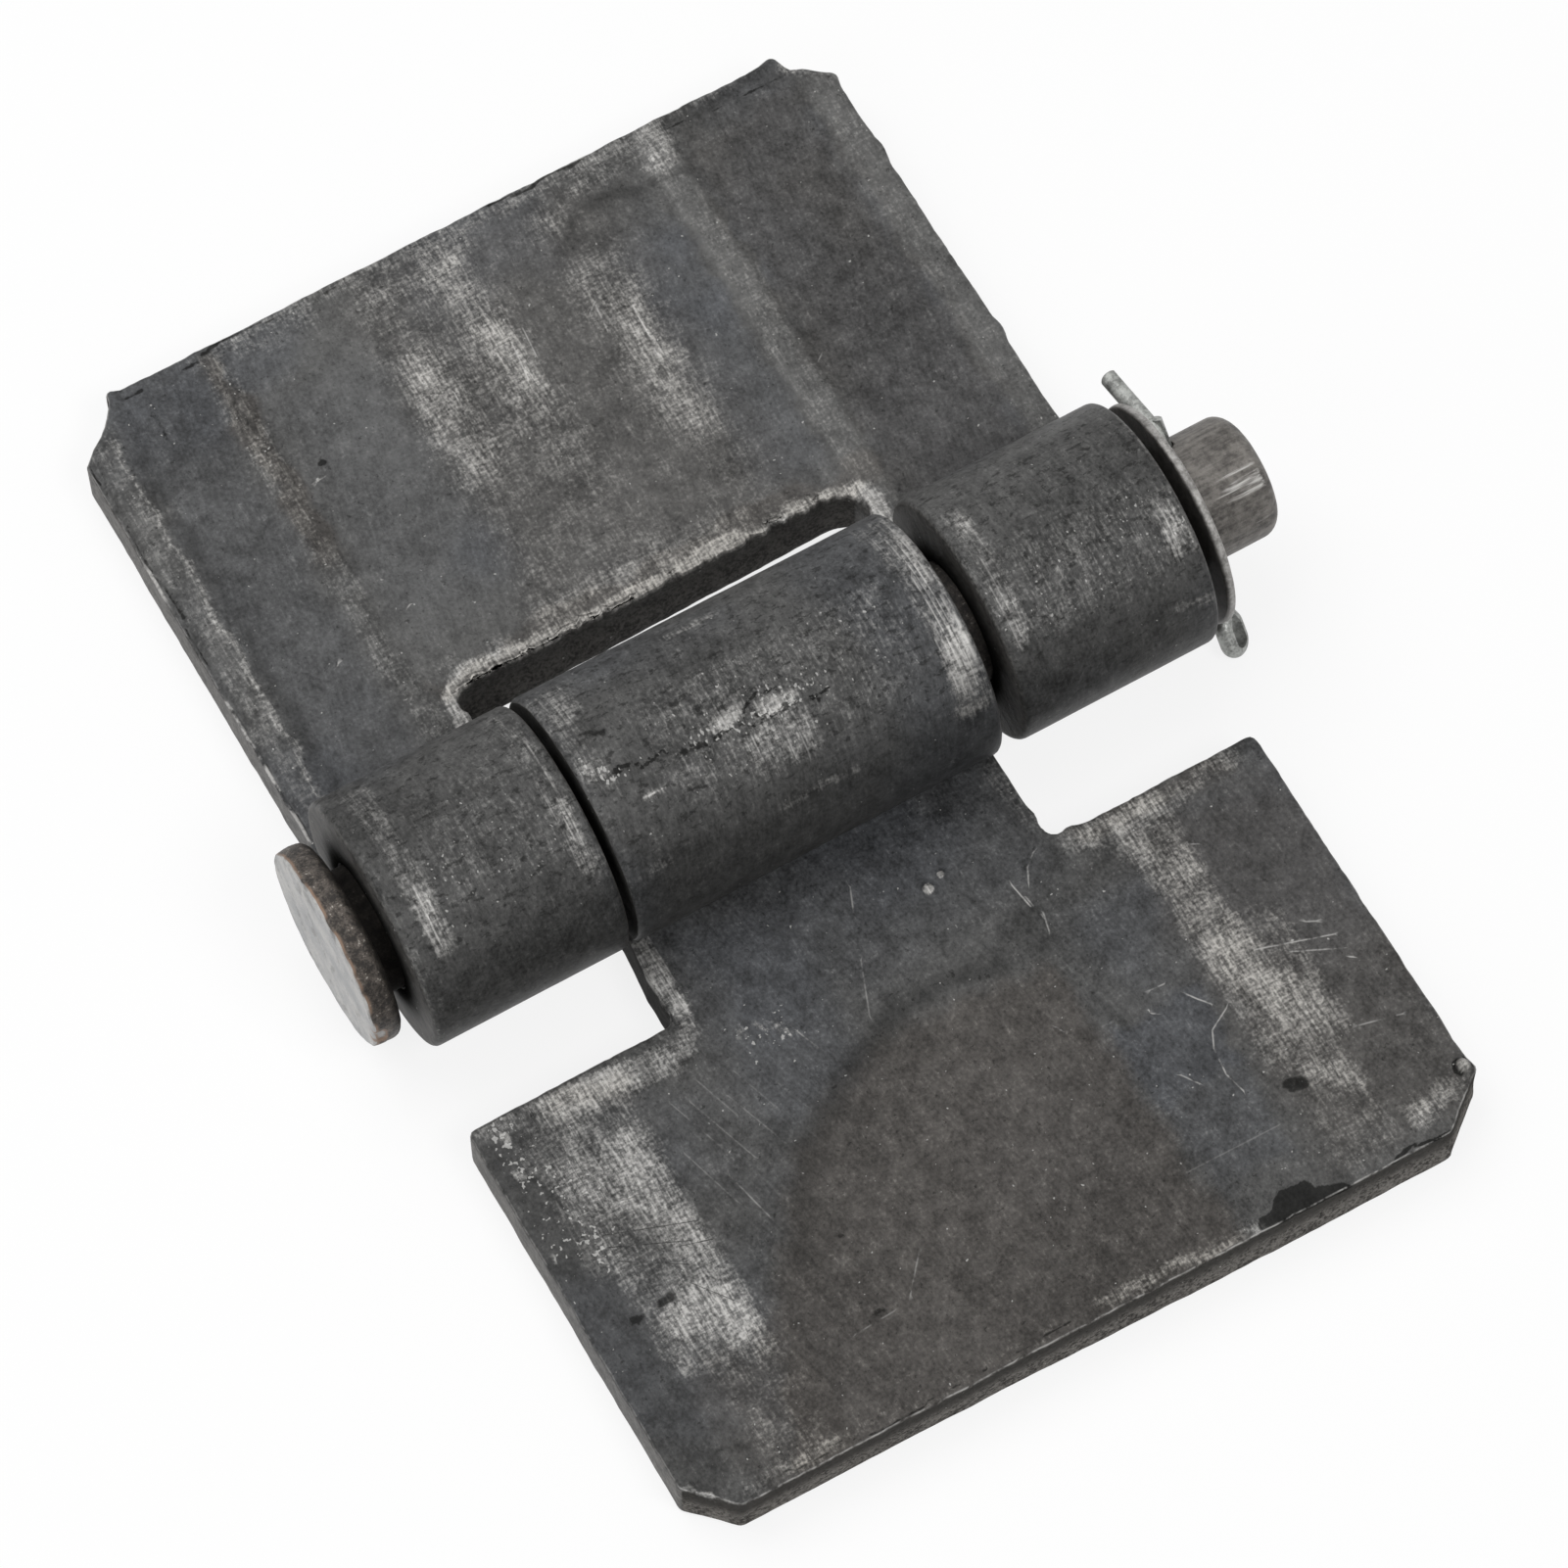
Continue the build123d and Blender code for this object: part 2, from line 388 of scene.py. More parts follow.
class Surface:
    """A material, with short calls that add nodes to it."""

    def __init__(self, name):
        self.material = bpy.data.materials.new(name)
        self.material.use_nodes = True
        self.tree = self.material.node_tree

    def finished(self, inputs):
        """The material, once its shader's inputs are filled."""
        shader = self.tree.nodes["Principled BSDF"]
        for key, value in inputs.items():
            put(self.tree, shader.inputs[key], value)
        return self.material

    def attribute(self, name, output="Fac"):
        return add_node(self.tree, "Attribute", {}, attribute_name=name).outputs[output]

    def stretched(self, place, factors):
        return add_node(self.tree, "VectorMath", {0: place, 1: factors}, operation="MULTIPLY").outputs[0]

    def turned(self, place, degrees):
        inputs = {"Vector": place, "Angle": math.radians(degrees)}
        return add_node(self.tree, "VectorRotate", inputs, rotation_type="Z_AXIS").outputs[0]

    def height(self, place):
        return add_node(self.tree, "SeparateXYZ", {0: place}).outputs["Z"]

    def noise(self, place, scale, detail, roughness):
        inputs = {"Vector": place, "Scale": scale, "Detail": detail, "Roughness": roughness}
        return add_node(self.tree, "TexNoise", inputs).outputs["Fac"]

    def math(self, operation, first, second):
        return add_node(self.tree, "Math", {0: first, 1: second}, operation=operation).outputs[0]

    def ramp(self, value, low, high, start=0.0, end=1.0):
        inputs = {"Value": value, "From Min": low, "From Max": high, "To Min": start, "To Max": end}
        return add_node(self.tree, "MapRange", inputs, interpolation_type="SMOOTHSTEP").outputs["Result"]

    def mix(self, amount, first, second, blend="MIX"):
        """From the first colour to the second; each is an output or three plain numbers."""
        inputs = {"Factor": amount}
        for key, colour in ((6, first), (7, second)):
            inputs[key] = colour if isinstance(colour, bpy.types.NodeSocket) else (*colour, 1.0)
        return add_node(self.tree, "Mix", inputs, data_type="RGBA", blend_type=blend).outputs[2]

    def add(self, base, *layers):
        """base plus, for each layer of noise, its gain times how far it lies from its middle."""
        for value, gain in layers:
            inputs = {0: self.math("SUBTRACT", value, 0.5), 1: gain, 2: base}
            base = add_node(self.tree, "Math", inputs, operation="MULTIPLY_ADD").outputs[0]
        return base

    def bump(self, height, depth, normal=None):
        """Relief as deep as depth, in millimetres, where height runs from 0 to 1."""
        inputs = {"Distance": depth * MM, "Height": height}
        if normal is not None:
            inputs["Normal"] = normal
        return add_node(self.tree, "Bump", inputs).outputs["Normal"]


def leaf_steel():
    """Hot-rolled plate: mottled mill scale, polished towards bare steel in places and stained in others."""
    steel = Surface("leaf_steel")
    place = steel.attribute("flat", "Vector")
    warm, wall = steel.attribute("warm"), steel.attribute("wall")
    mottle = steel.noise(place, 0.6, 4.0, 0.60)
    grit = steel.noise(place, 2.8, 2.0, 0.7)
    along = steel.noise(steel.stretched(place, (3.4, 0.30, 1.0)), 1.0, 2.0, 0.68)
    across = steel.noise(steel.stretched(place, (0.30, 3.4, 1.0)), 1.0, 2.0, 0.68)
    scuff = steel.noise(steel.stretched(steel.turned(place, 17.0), (3.0, 0.10, 1.0)), 1.0, 1.0, 0.6)
    swirl = steel.noise(steel.stretched(steel.turned(place, -38.0), (2.6, 0.14, 1.0)), 1.0, 1.0, 0.6)
    # Mill scale: neutral grey that turns bluish in clouds, or brown where it is stained
    shade = steel.math("ADD", steel.attribute("tone"), 0.5)
    shade = steel.add(shade, (mottle, 0.75), (grit, 0.68), (along, 0.25), (scuff, 0.22), (swirl, 0.18))
    shade = steel.ramp(shade, 0.05, 0.95)
    grey = steel.mix(shade, (0.0165, 0.0165, 0.0160), (0.134, 0.133, 0.130))
    blue = steel.mix(shade, (0.0160, 0.0166, 0.0178), (0.125, 0.130, 0.139))
    brown = steel.mix(shade, (0.0180, 0.0158, 0.0138), (0.127, 0.117, 0.108))
    scale = steel.mix(steel.attribute("cool"), grey, blue)
    scale = steel.mix(warm, scale, brown)
    # Rubbing lightens the scale, more in fine scratch lines and grit
    level = steel.attribute("rub")
    level = steel.add(level, (along, 0.55), (across, 0.35), (grit, 0.75), (mottle, 0.65), (scuff, 0.12))
    worn = steel.ramp(level, 0.08, 0.95)
    broken = steel.ramp(steel.noise(place, 0.6, 3.0, 0.7), 0.36, 0.58)
    lines = steel.math("MULTIPLY", steel.attribute("line"), broken)
    shine = steel.add(0.5, (along, 1.2), (across, 0.7), (grit, 1.2))
    bare = steel.mix(steel.ramp(shine, 0.15, 0.9), (0.125, 0.123, 0.119), (0.42, 0.412, 0.396))
    bare = steel.mix(steel.math("MULTIPLY", warm, 0.6), bare, (1.0, 0.95, 0.87), "MULTIPLY")
    colour = steel.mix(worn, scale, bare)
    # Cut walls: a dark sheared band above a paler torn one
    height = steel.add(steel.height(place), (mottle, 4.0), (grit, 2.0))
    torn = steel.ramp(steel.add(0.5, (grit, 1.4), (mottle, 0.8)), 0.2, 0.8)
    torn = steel.mix(torn, (0.056, 0.053, 0.050), (0.240, 0.228, 0.212))
    sheared = steel.math("MULTIPLY", steel.ramp(height, 2.6, 4.8), steel.ramp(wall, 0.6, 0.9, 0.0, 0.9))
    cut = steel.mix(sheared, torn, (0.052, 0.050, 0.047))
    colour = steel.mix(steel.math("MULTIPLY", wall, steel.math("SUBTRACT", 1.0, worn)), colour, cut)
    # Pits, drawn out along the pin on the knuckles, crisp dark spots, and bright flecks
    pits = steel.ramp(steel.noise(place, 1.7, 3.0, 0.7), 0.62, 0.70, 0.0, 0.55)
    crack = steel.attribute("crack")
    drawn = steel.noise(steel.stretched(place, (0.8, 1.7, 1.5)), 1.0, 3.0, 0.72)
    crumbs = steel.math("ADD", drawn, steel.math("MULTIPLY", crack, 0.17))
    crumbs = steel.math("MULTIPLY", steel.ramp(crumbs, 0.55, 0.66, 0.0, 0.84), steel.ramp(crack, 0.1, 0.4))
    drawn = steel.math("MULTIPLY", steel.ramp(drawn, 0.54, 0.63, 0.0, 0.8), steel.attribute("pitted"))
    pits = steel.math("MAXIMUM", steel.math("MAXIMUM", pits, drawn), crumbs)
    # Crisp dark spots: dark marks, and painted shade round the foot of each lump
    spots = steel.add(steel.attribute("spot"), (mottle, 0.9), (grit, 0.7))
    spots = steel.ramp(spots, 0.36, 0.64, 0.0, 0.82)
    # The dark attribute holds soft stains and painted shade: in the bore, on slot walls, knuckle ends and
    # fronts
    dark = steel.math("MAXIMUM", steel.math("MAXIMUM", steel.attribute("dark"), pits), spots)
    colour = steel.mix(dark, colour, (0.014, 0.014, 0.0135))
    fleck = steel.math("MULTIPLY", steel.attribute("fleck"), 0.16)
    flecks = steel.math("ADD", steel.noise(place, 2.1, 1.0, 0.6), fleck)
    colour = steel.mix(steel.ramp(flecks, 0.765, 0.81, 0.0, 0.8), colour, (0.46, 0.455, 0.44))
    # Bright lines: scratches, and along the top edges a burr with a painted highlight
    colour = steel.mix(lines, colour, (0.47, 0.462, 0.447))
    matt = steel.math("MAXIMUM", dark, wall)
    return steel.finished({
        "Base Color": colour,
        "Metallic": steel.ramp(worn, 0.0, 1.0, 0.0, 0.4),
        "Roughness": steel.add(steel.ramp(worn, 0.0, 1.0, 0.46, 0.40), (grit, 0.3)),
        "Specular IOR Level": steel.ramp(matt, 0.0, 0.9, 0.17, 0.0),
        "Normal": steel.bump(grit, 0.03, steel.bump(mottle, 0.09)),
    })


def pin_steel():
    """Forged pin: pale rubbed face, rusty brown head, shank dark with grime and painted shade, tail with
    drawn lines.
    """
    steel = Surface("pin_steel")
    place = steel.attribute("flat", "Vector")
    cloud = steel.noise(place, 0.35, 5.0, 0.6)
    grain = steel.noise(place, 1.3, 7.0, 0.72)
    fine = steel.noise(place, 4.5, 4.0, 0.65)
    drawn = steel.noise(steel.stretched(place, (0.16, 2.4, 2.4)), 1.0, 4.0, 0.62)
    tone = steel.add(0.5, (cloud, 0.9), (grain, 1.2), (drawn, 0.8))
    tail = steel.mix(steel.ramp(tone, 0.1, 0.9), (0.044, 0.040, 0.037), (0.228, 0.214, 0.197))
    scraped = steel.ramp(steel.add(steel.attribute("scraped"), (drawn, 1.9)), 0.55, 0.95)
    tail = steel.mix(scraped, tail, (0.52, 0.51, 0.49))
    mottled = steel.ramp(steel.add(grain, (fine, 0.5)), 0.38, 0.66)
    rust = steel.mix(mottled, (0.024, 0.0208, 0.0185), (0.112, 0.096, 0.083))
    bright = steel.ramp(steel.add(0.0, (grain, 1.0), (fine, 0.9)), 0.15, 0.26)
    rust = steel.mix(bright, rust, (0.42, 0.395, 0.36))
    cloudy = steel.ramp(steel.add(cloud, (fine, 0.5)), 0.35, 0.65)
    pale = steel.mix(cloudy, (0.36, 0.362, 0.366), (0.50, 0.492, 0.478))
    pits = steel.noise(steel.stretched(place, (0.7, 0.6, 0.36)), 1.0, 3.0, 0.66)
    pale = steel.mix(steel.ramp(pits, 0.56, 0.68, 0.0, 0.5), pale, (0.14, 0.134, 0.128))
    colour = steel.mix(steel.attribute("rust"), tail, rust)
    colour = steel.mix(steel.attribute("pale"), colour, pale)
    colour = steel.mix(steel.attribute("copper"), colour, (0.26, 0.175, 0.125))
    # Darker on the shank, from grime and painted shade between parts, and on the head's back: painted shade
    # by the knuckle
    colour = steel.mix(steel.attribute("dark"), colour, (0.014, 0.0135, 0.013))
    return steel.finished({
        "Base Color": colour,
        "Metallic": 0.35,
        "Roughness": steel.add(0.48, (grain, 0.3)),
        "Specular IOR Level": 0.3,
        "Normal": steel.bump(drawn, 0.03, steel.bump(grain, 0.14)),
    })


def washer_steel():
    """Stamped steel: faces painted dark as shade, for the one close to the knuckle, and a rim rubbed pale."""
    steel = Surface("washer_steel")
    place = steel.attribute("flat", "Vector")
    cloud = steel.noise(place, 0.9, 6.0, 0.65)
    fine = steel.noise(place, 4.0, 4.0, 0.65)
    tone = steel.ramp(steel.add(cloud, (fine, 0.6)), 0.32, 0.68)
    # The faces' dark colour is painted shade, for the face in the narrow gap by the knuckle
    face = steel.mix(tone, (0.050, 0.047, 0.044), (0.135, 0.128, 0.120))
    rim = steel.mix(tone, (0.165, 0.158, 0.150), (0.400, 0.390, 0.375))
    return steel.finished({
        "Base Color": steel.mix(steel.attribute("rim"), face, rim),
        "Metallic": 0.4,
        "Roughness": steel.add(0.42, (cloud, 0.3)),
        "Normal": steel.bump(fine, 0.03),
    })


def zinc_steel():
    """Dull zinc plate with faint clouding and fine scratches, from object coordinates."""
    steel = Surface("zinc_steel")
    place = add_node(steel.tree, "TexCoord", {}).outputs["Object"]
    place = steel.stretched(place, (1 / MM, 1 / MM, 1 / MM))
    cloud = steel.noise(place, 0.8, 6.0, 0.65)
    fine = steel.noise(place, 4.0, 4.0, 0.65)
    tone = steel.ramp(steel.add(cloud, (fine, 0.6)), 0.30, 0.70)
    return steel.finished({
        "Base Color": steel.mix(tone, (0.15, 0.153, 0.145), (0.44, 0.45, 0.43)),
        "Metallic": 0.5,
        "Roughness": steel.add(0.40, (cloud, 0.3)),
        "Normal": steel.bump(fine, 0.03),
    })


# Outlines of the leaves before rolling
fixed_corners = (
    Corner(fixed_left, -roll_length),
    Corner(slot_left, -roll_length),
    Corner(slot_left, slot_reach - 9.0, side_ease),
    Corner(slot_left - slot_relief, slot_reach - 4.0, side_ease),
    Corner(slot_left - slot_relief, slot_reach, 1.3),
    Corner(slot_right, slot_reach, 2.6),
    Corner(slot_right, -roll_length),
    Corner(fixed_right, -roll_length),
    Corner(fixed_right, leaf_reach + fixed_skew - fixed_right_cut),
    Corner(fixed_right - fixed_right_cut, leaf_reach + fixed_skew),
    Corner(fixed_left + fixed_left_cut, leaf_reach - fixed_skew),
    Corner(fixed_left, leaf_reach - fixed_skew - fixed_left_cut),
)

swing_corners = (
    Corner(tongue_left, -roll_length),
    Corner(tongue_right, -roll_length),
    Corner(tongue_right, shoulder_right_reach, 2.0),
    Corner(swing_right, shoulder_right_reach),
    Corner(swing_right, leaf_reach + swing_skew - swing_corner_cut),
    Corner(swing_right - swing_corner_cut - swing_long_cut, leaf_reach + swing_skew),
    Corner(swing_left + swing_corner_cut, leaf_reach - swing_skew, 1.0),
    Corner(swing_left, leaf_reach - swing_skew - swing_corner_cut, 1.0),
    Corner(swing_left, shoulder_left_reach),
    Corner(tongue_left - tongue_flare, shoulder_left_reach),
    Corner(tongue_left - tongue_flare, knuckle_radius + 2.0, side_ease),
    Corner(tongue_left, knuckle_radius - 3.0, side_ease),
)


def ragged_outline(corners, marks):
    """A leaf's outline with its nicks, its outward directions, its torn rim and the lean of its walls."""
    loop = rounded_outline(corners)
    ahead = np.roll(loop, -1, 0)
    if (ahead[:, 1] * loop[:, 0] - ahead[:, 0] * loop[:, 1]).sum() < 0:
        loop = loop[::-1]
    normals = outward(loop)
    free = smooth(loop[:, 1], 6.0, 14.0)
    push = (0.02 + marks["ragged"] * free) * noise(loop[:, 0], loop[:, 1], 2.2, marks["seed"])
    for nick in marks["nicks"]:
        gap = np.hypot(loop[:, 0] - nick.x, loop[:, 1] - nick.b)
        push = push + nick.push * np.exp(-((gap / nick.radius) ** 2))
    loop = loop + normals * push[:, None]
    x, b = loop.T
    tear = np.maximum(noise(x, b, 1.5, marks["seed"] + 5), 0)
    tear = tear + 0.8 * np.maximum(noise(x, b, 0.7, marks["seed"] + 6), 0)
    at_slot = marks["at_slot"](x, b)
    bites = tear * (0.12 * free + 0.5 * at_slot)
    towards_left = np.clip((slot_right - x) / (slot_right - slot_left), 0, 1)
    lean = (slot_lean + slot_lean_left * towards_left) * at_slot * smooth(-normals[:, 1], 0.5, 0.9)
    at_front = smooth(b, leaf_reach - 6.0, leaf_reach - 4.0) * smooth(normals[:, 1], 0.5, 0.9)
    lean = lean + marks["front_lean"] * smooth(x, -25.0, 15.0) * at_front
    return loop, normals, bites, lean


def skins(c):
    """1 on the top skin of a blank, and 1 on its back."""
    return smooth(c, plate - 0.6, plate - 0.1), smooth(c, 0.6, 0.1)


def leaf_looks(side, marks, flat, facing, edge_gap, line, streak):
    """Values for the material at each point, from worn places and from painted shade in recesses and on
    knuckles.
    """
    x, b, c = flat.T
    top, back = skins(c)
    round_top = side * (-b / neutral_radius - math.pi) * knuckle_radius
    on_knuckle = back * smooth(-b, 4.0, 10.0)
    plain = back * smooth(b, -4.0, 4.0)
    bore = top * smooth(-b, 2.0, 6.0)
    wall = 1 - np.maximum(smooth(c, plate - 0.35, plate - 0.05), smooth(c, 0.5, 0.1))
    knuckle_end = wall * smooth(b, 6.0, 0.0)
    near_wall = marks["at_slot"](x, b)

    def spread(key, seed, warp):
        """Marks of the top skin, together with those of the knuckles."""
        on_top = field(marks[key], x, b, seed, warp) * top * smooth(b, 3.0, 7.0)
        return on_top + field(marks["knuckle_" + key], x, round_top, seed + 2, 0.5 * warp) * on_knuckle

    rub = spread("rubs", 3, 0.8) * (1 + 0.45 * noise(x, b, 4.0, 27))
    rub = rub + 0.30 * on_knuckle * np.exp(-((edge_gap / 0.6) ** 2)) * smooth(noise(x, b, 3.0, 53), -0.3, 0.5)
    rub = rub + marks["lip"](x, b, edge_gap) * top
    rub = rub + plain * 0.22 * smooth(noise(x, b, 14.0, 61), 0.0, 0.7)
    spot = spread("spots", 13, 0.5) + np.maximum(streak - line, 0)
    spot = spot + marks["wall_spot"](x, b) * wall * (facing[:, 0] < -0.5)
    for lump in marks["lumps"]:
        gap = np.hypot(x - lump.x, b - lump.b) / lump.radius
        rub = rub + 1.2 * np.exp(-((gap / 0.85) ** 6)) * top
        # A dark ring round each lump's foot: painted shade where it rises from the plate
        spot = spot + lump.rise * np.exp(-(((gap - 1.15) / 0.2) ** 2)) * top
    # Bright line along the top edge: a bare burr with a painted highlight on it, stronger along the front
    crest = smooth(c, plate - 0.17, plate - 0.10) * smooth(edge_gap, 0.20, 0.10) * smooth(b, 6.0, 12.0)
    front = smooth(b, leaf_reach - 6.0, leaf_reach - 4.0) * marks["front_crest"]
    crest = crest * (0.35 + 0.65 * front)
    # Listed stretches of edge: rubbed bare, with a painted highlight along them
    rubbed_highlit_edge_band = smooth(c, plate - 0.40, plate - 0.25) * smooth(edge_gap, 0.34, 0.22)
    crest = np.maximum(crest, rubbed_highlit_edge_band * field(marks["rubbed_highlit_edges"], x, b, 25, 0.2))
    # Darker: the darks, with painted shade inside the bore and on the slot's walls that the knuckle shades
    dark = spread("darks", 15, 0.8) + 0.6 * bore + 0.3 * near_wall * wall
    # Painted shade on the knuckles' end faces in the gaps between parts, darkest towards the bore
    dark = dark + knuckle_end * (0.48 + 0.42 * smooth(c, 1.8, 5.2))
    # Painted shade on the knuckles' lower fronts, which face away from the lamps
    dark = dark + marks["knuckle_front_painted_shade"] * smooth(-round_top, 8.0, 13.5) * on_knuckle
    warm = (field(marks["warms"], x, b, 17, 1.5) + marks["stain"](x, b)) * top + 0.25 * plain
    cool = 0.7 * smooth(noise(x, b, 15.0, marks["seed"] + 13), -0.2, 0.4)
    cool = cool + field(marks["cools"], x, b, 23, 1.2) * top
    tone = field(marks["tones"], x, b, 19, 1.5) * top + field(marks["bands"], x, b, 29, 0.15) * top
    # The bore is also darker in tone: painted shade inside the roll
    tone = tone + marks["tone"] + marks["knuckle_tone"] * on_knuckle - 0.25 * bore
    return {
        "flat": flat,
        "rub": np.clip(rub, 0, 1.2),
        "line": np.clip(np.maximum(line, 0) + crest, 0, 1),
        "dark": np.clip(dark, 0, 1),
        "spot": np.clip(spot, 0, 1.2),
        "fleck": np.clip(spread("flecks", 21, 0.6), 0, 1.2),
        "warm": np.clip(warm, 0, 1),
        "wall": wall * np.where(facing[:, 0] < -0.85, 0.55, 1.0) * (1 - 0.25 * near_wall),
        "pitted": 0.12 + 0.55 * on_knuckle,
        "crack": np.clip(-streak, 0, 1),
        "cool": np.clip(cool, 0, 1),
        "tone": tone + 0.14 * noise(x, b, 9.0, marks["seed"] + 9, 4),
    }


def shaped_leaf(name, side, corners, marks, material):
    """One leaf, from its blank: ragged outline, die marks and dents, then rolled round the pin."""
    loop, normals, bites, lean = ragged_outline(corners, marks)
    streaks = tuple(on_roll(scratch, side) for scratch in marks["knuckle_scratches"])
    fine = [scratch_points(scratch) for scratch in marks["scratches"] + streaks]
    fine += [lump_points(lump) for lump in marks["lumps"]]
    flat, facing, faces = blank(loop, normals, bites, lean, np.vstack(fine))
    x, b, c = flat.T
    top, back = skins(c)
    edge_gap = distance_to(loop, flat[:, :2])
    streak = scratch_field(streaks, x, b) * back * smooth(-b, 4.0, 10.0)
    line = scratch_field(marks["scratches"], x, b) * top + streak
    # Low waves over the plate, small dents, and the raised bands and grooves left by the die
    on_flat = smooth(b, 0.0, 8.0)
    rise = (0.06 * noise(x, b, 18.0, 31) + 0.018 * noise(x, b, 2.4, 37)) * on_flat
    rise = rise + field(marks["bends"], x, b, 11, 0.3) - 0.04 * np.abs(line)
    for lump in marks["lumps"]:
        gap = np.hypot(x - lump.x, b - lump.b) / lump.radius
        rise = rise + lump.rise * np.exp(-(gap**5))
    sag = 0.10 * np.exp(-edge_gap / 0.5) * on_flat
    shifted = flat.copy()
    shifted[:, 0] += mark_zero
    shifted[:, 2] += top * (rise - sag) + back * 0.015 * noise(x, b, 2.0, 41) + 0.06 * np.abs(streak)
    values = leaf_looks(side, marks, flat, facing, edge_gap, line, streak)
    if side < 0:
        faces = [face[::-1] for face in faces]
    return make_mesh(name, rolled(shifted, side), faces, values, material)


def scratch_field(scratches, x, b):
    """1 along bright scratches, -1 along dark ones."""
    total = np.zeros_like(x)
    for scratch in scratches:
        sway = 1.4 * (scratch.half - scratch_half_width) * noise(x, b, 1.4, 57)
        gap = segment_gap(x, b + sway, scratch)
        total += scratch.amount * smooth(gap, 0.8 * scratch.half, 0.2 * scratch.half)
    return total


def near_slot(x, b):
    """1 beside the slot of the fixed leaf."""
    beside = smooth(x, slot_left - 3.5, slot_left - 2.0) * smooth(x, slot_right + 3.0, slot_right + 1.6)
    return beside * smooth(b, slot_reach + 4.0, slot_reach + 3.0) * smooth(b, 10.0, 14.0)


def slot_lip(x, b, edge_gap):
    """The rubbed lip along the slot's edge."""
    width = 1.4 + 0.8 * noise(x, b, 2.6, 71) + 0.6 * noise(x, b, 9.0, 72)
    return 0.75 * near_slot(x, b) * smooth(width - edge_gap, -0.35, 0.35)


def tongue_wall(x, b):
    """1 on the left wall of the swing leaf's tongue, which is dark."""
    at_left = smooth(x, tongue_left + 2.0, tongue_left + 1.0)
    return at_left * smooth(b, shoulder_left_reach + 1.0, shoulder_left_reach)


def nowhere(x, b, edge_gap=0.0):
    """0 everywhere, for a leaf without some mark."""
    return 0.0 * x


def round_stain(x, b):
    """The brown stain on the swing leaf: part of a ring's inside, cut off towards the right."""
    wave = 2.2 * noise(x, b, 9.0, 73) + 0.8 * noise(x, b, 2.0, 75)
    within = smooth(33.4 - np.hypot(x, b - 62.0) + wave, -1.4, 1.4)
    return 0.9 * within * smooth(10.0 - x + wave, -1.2, 1.2)


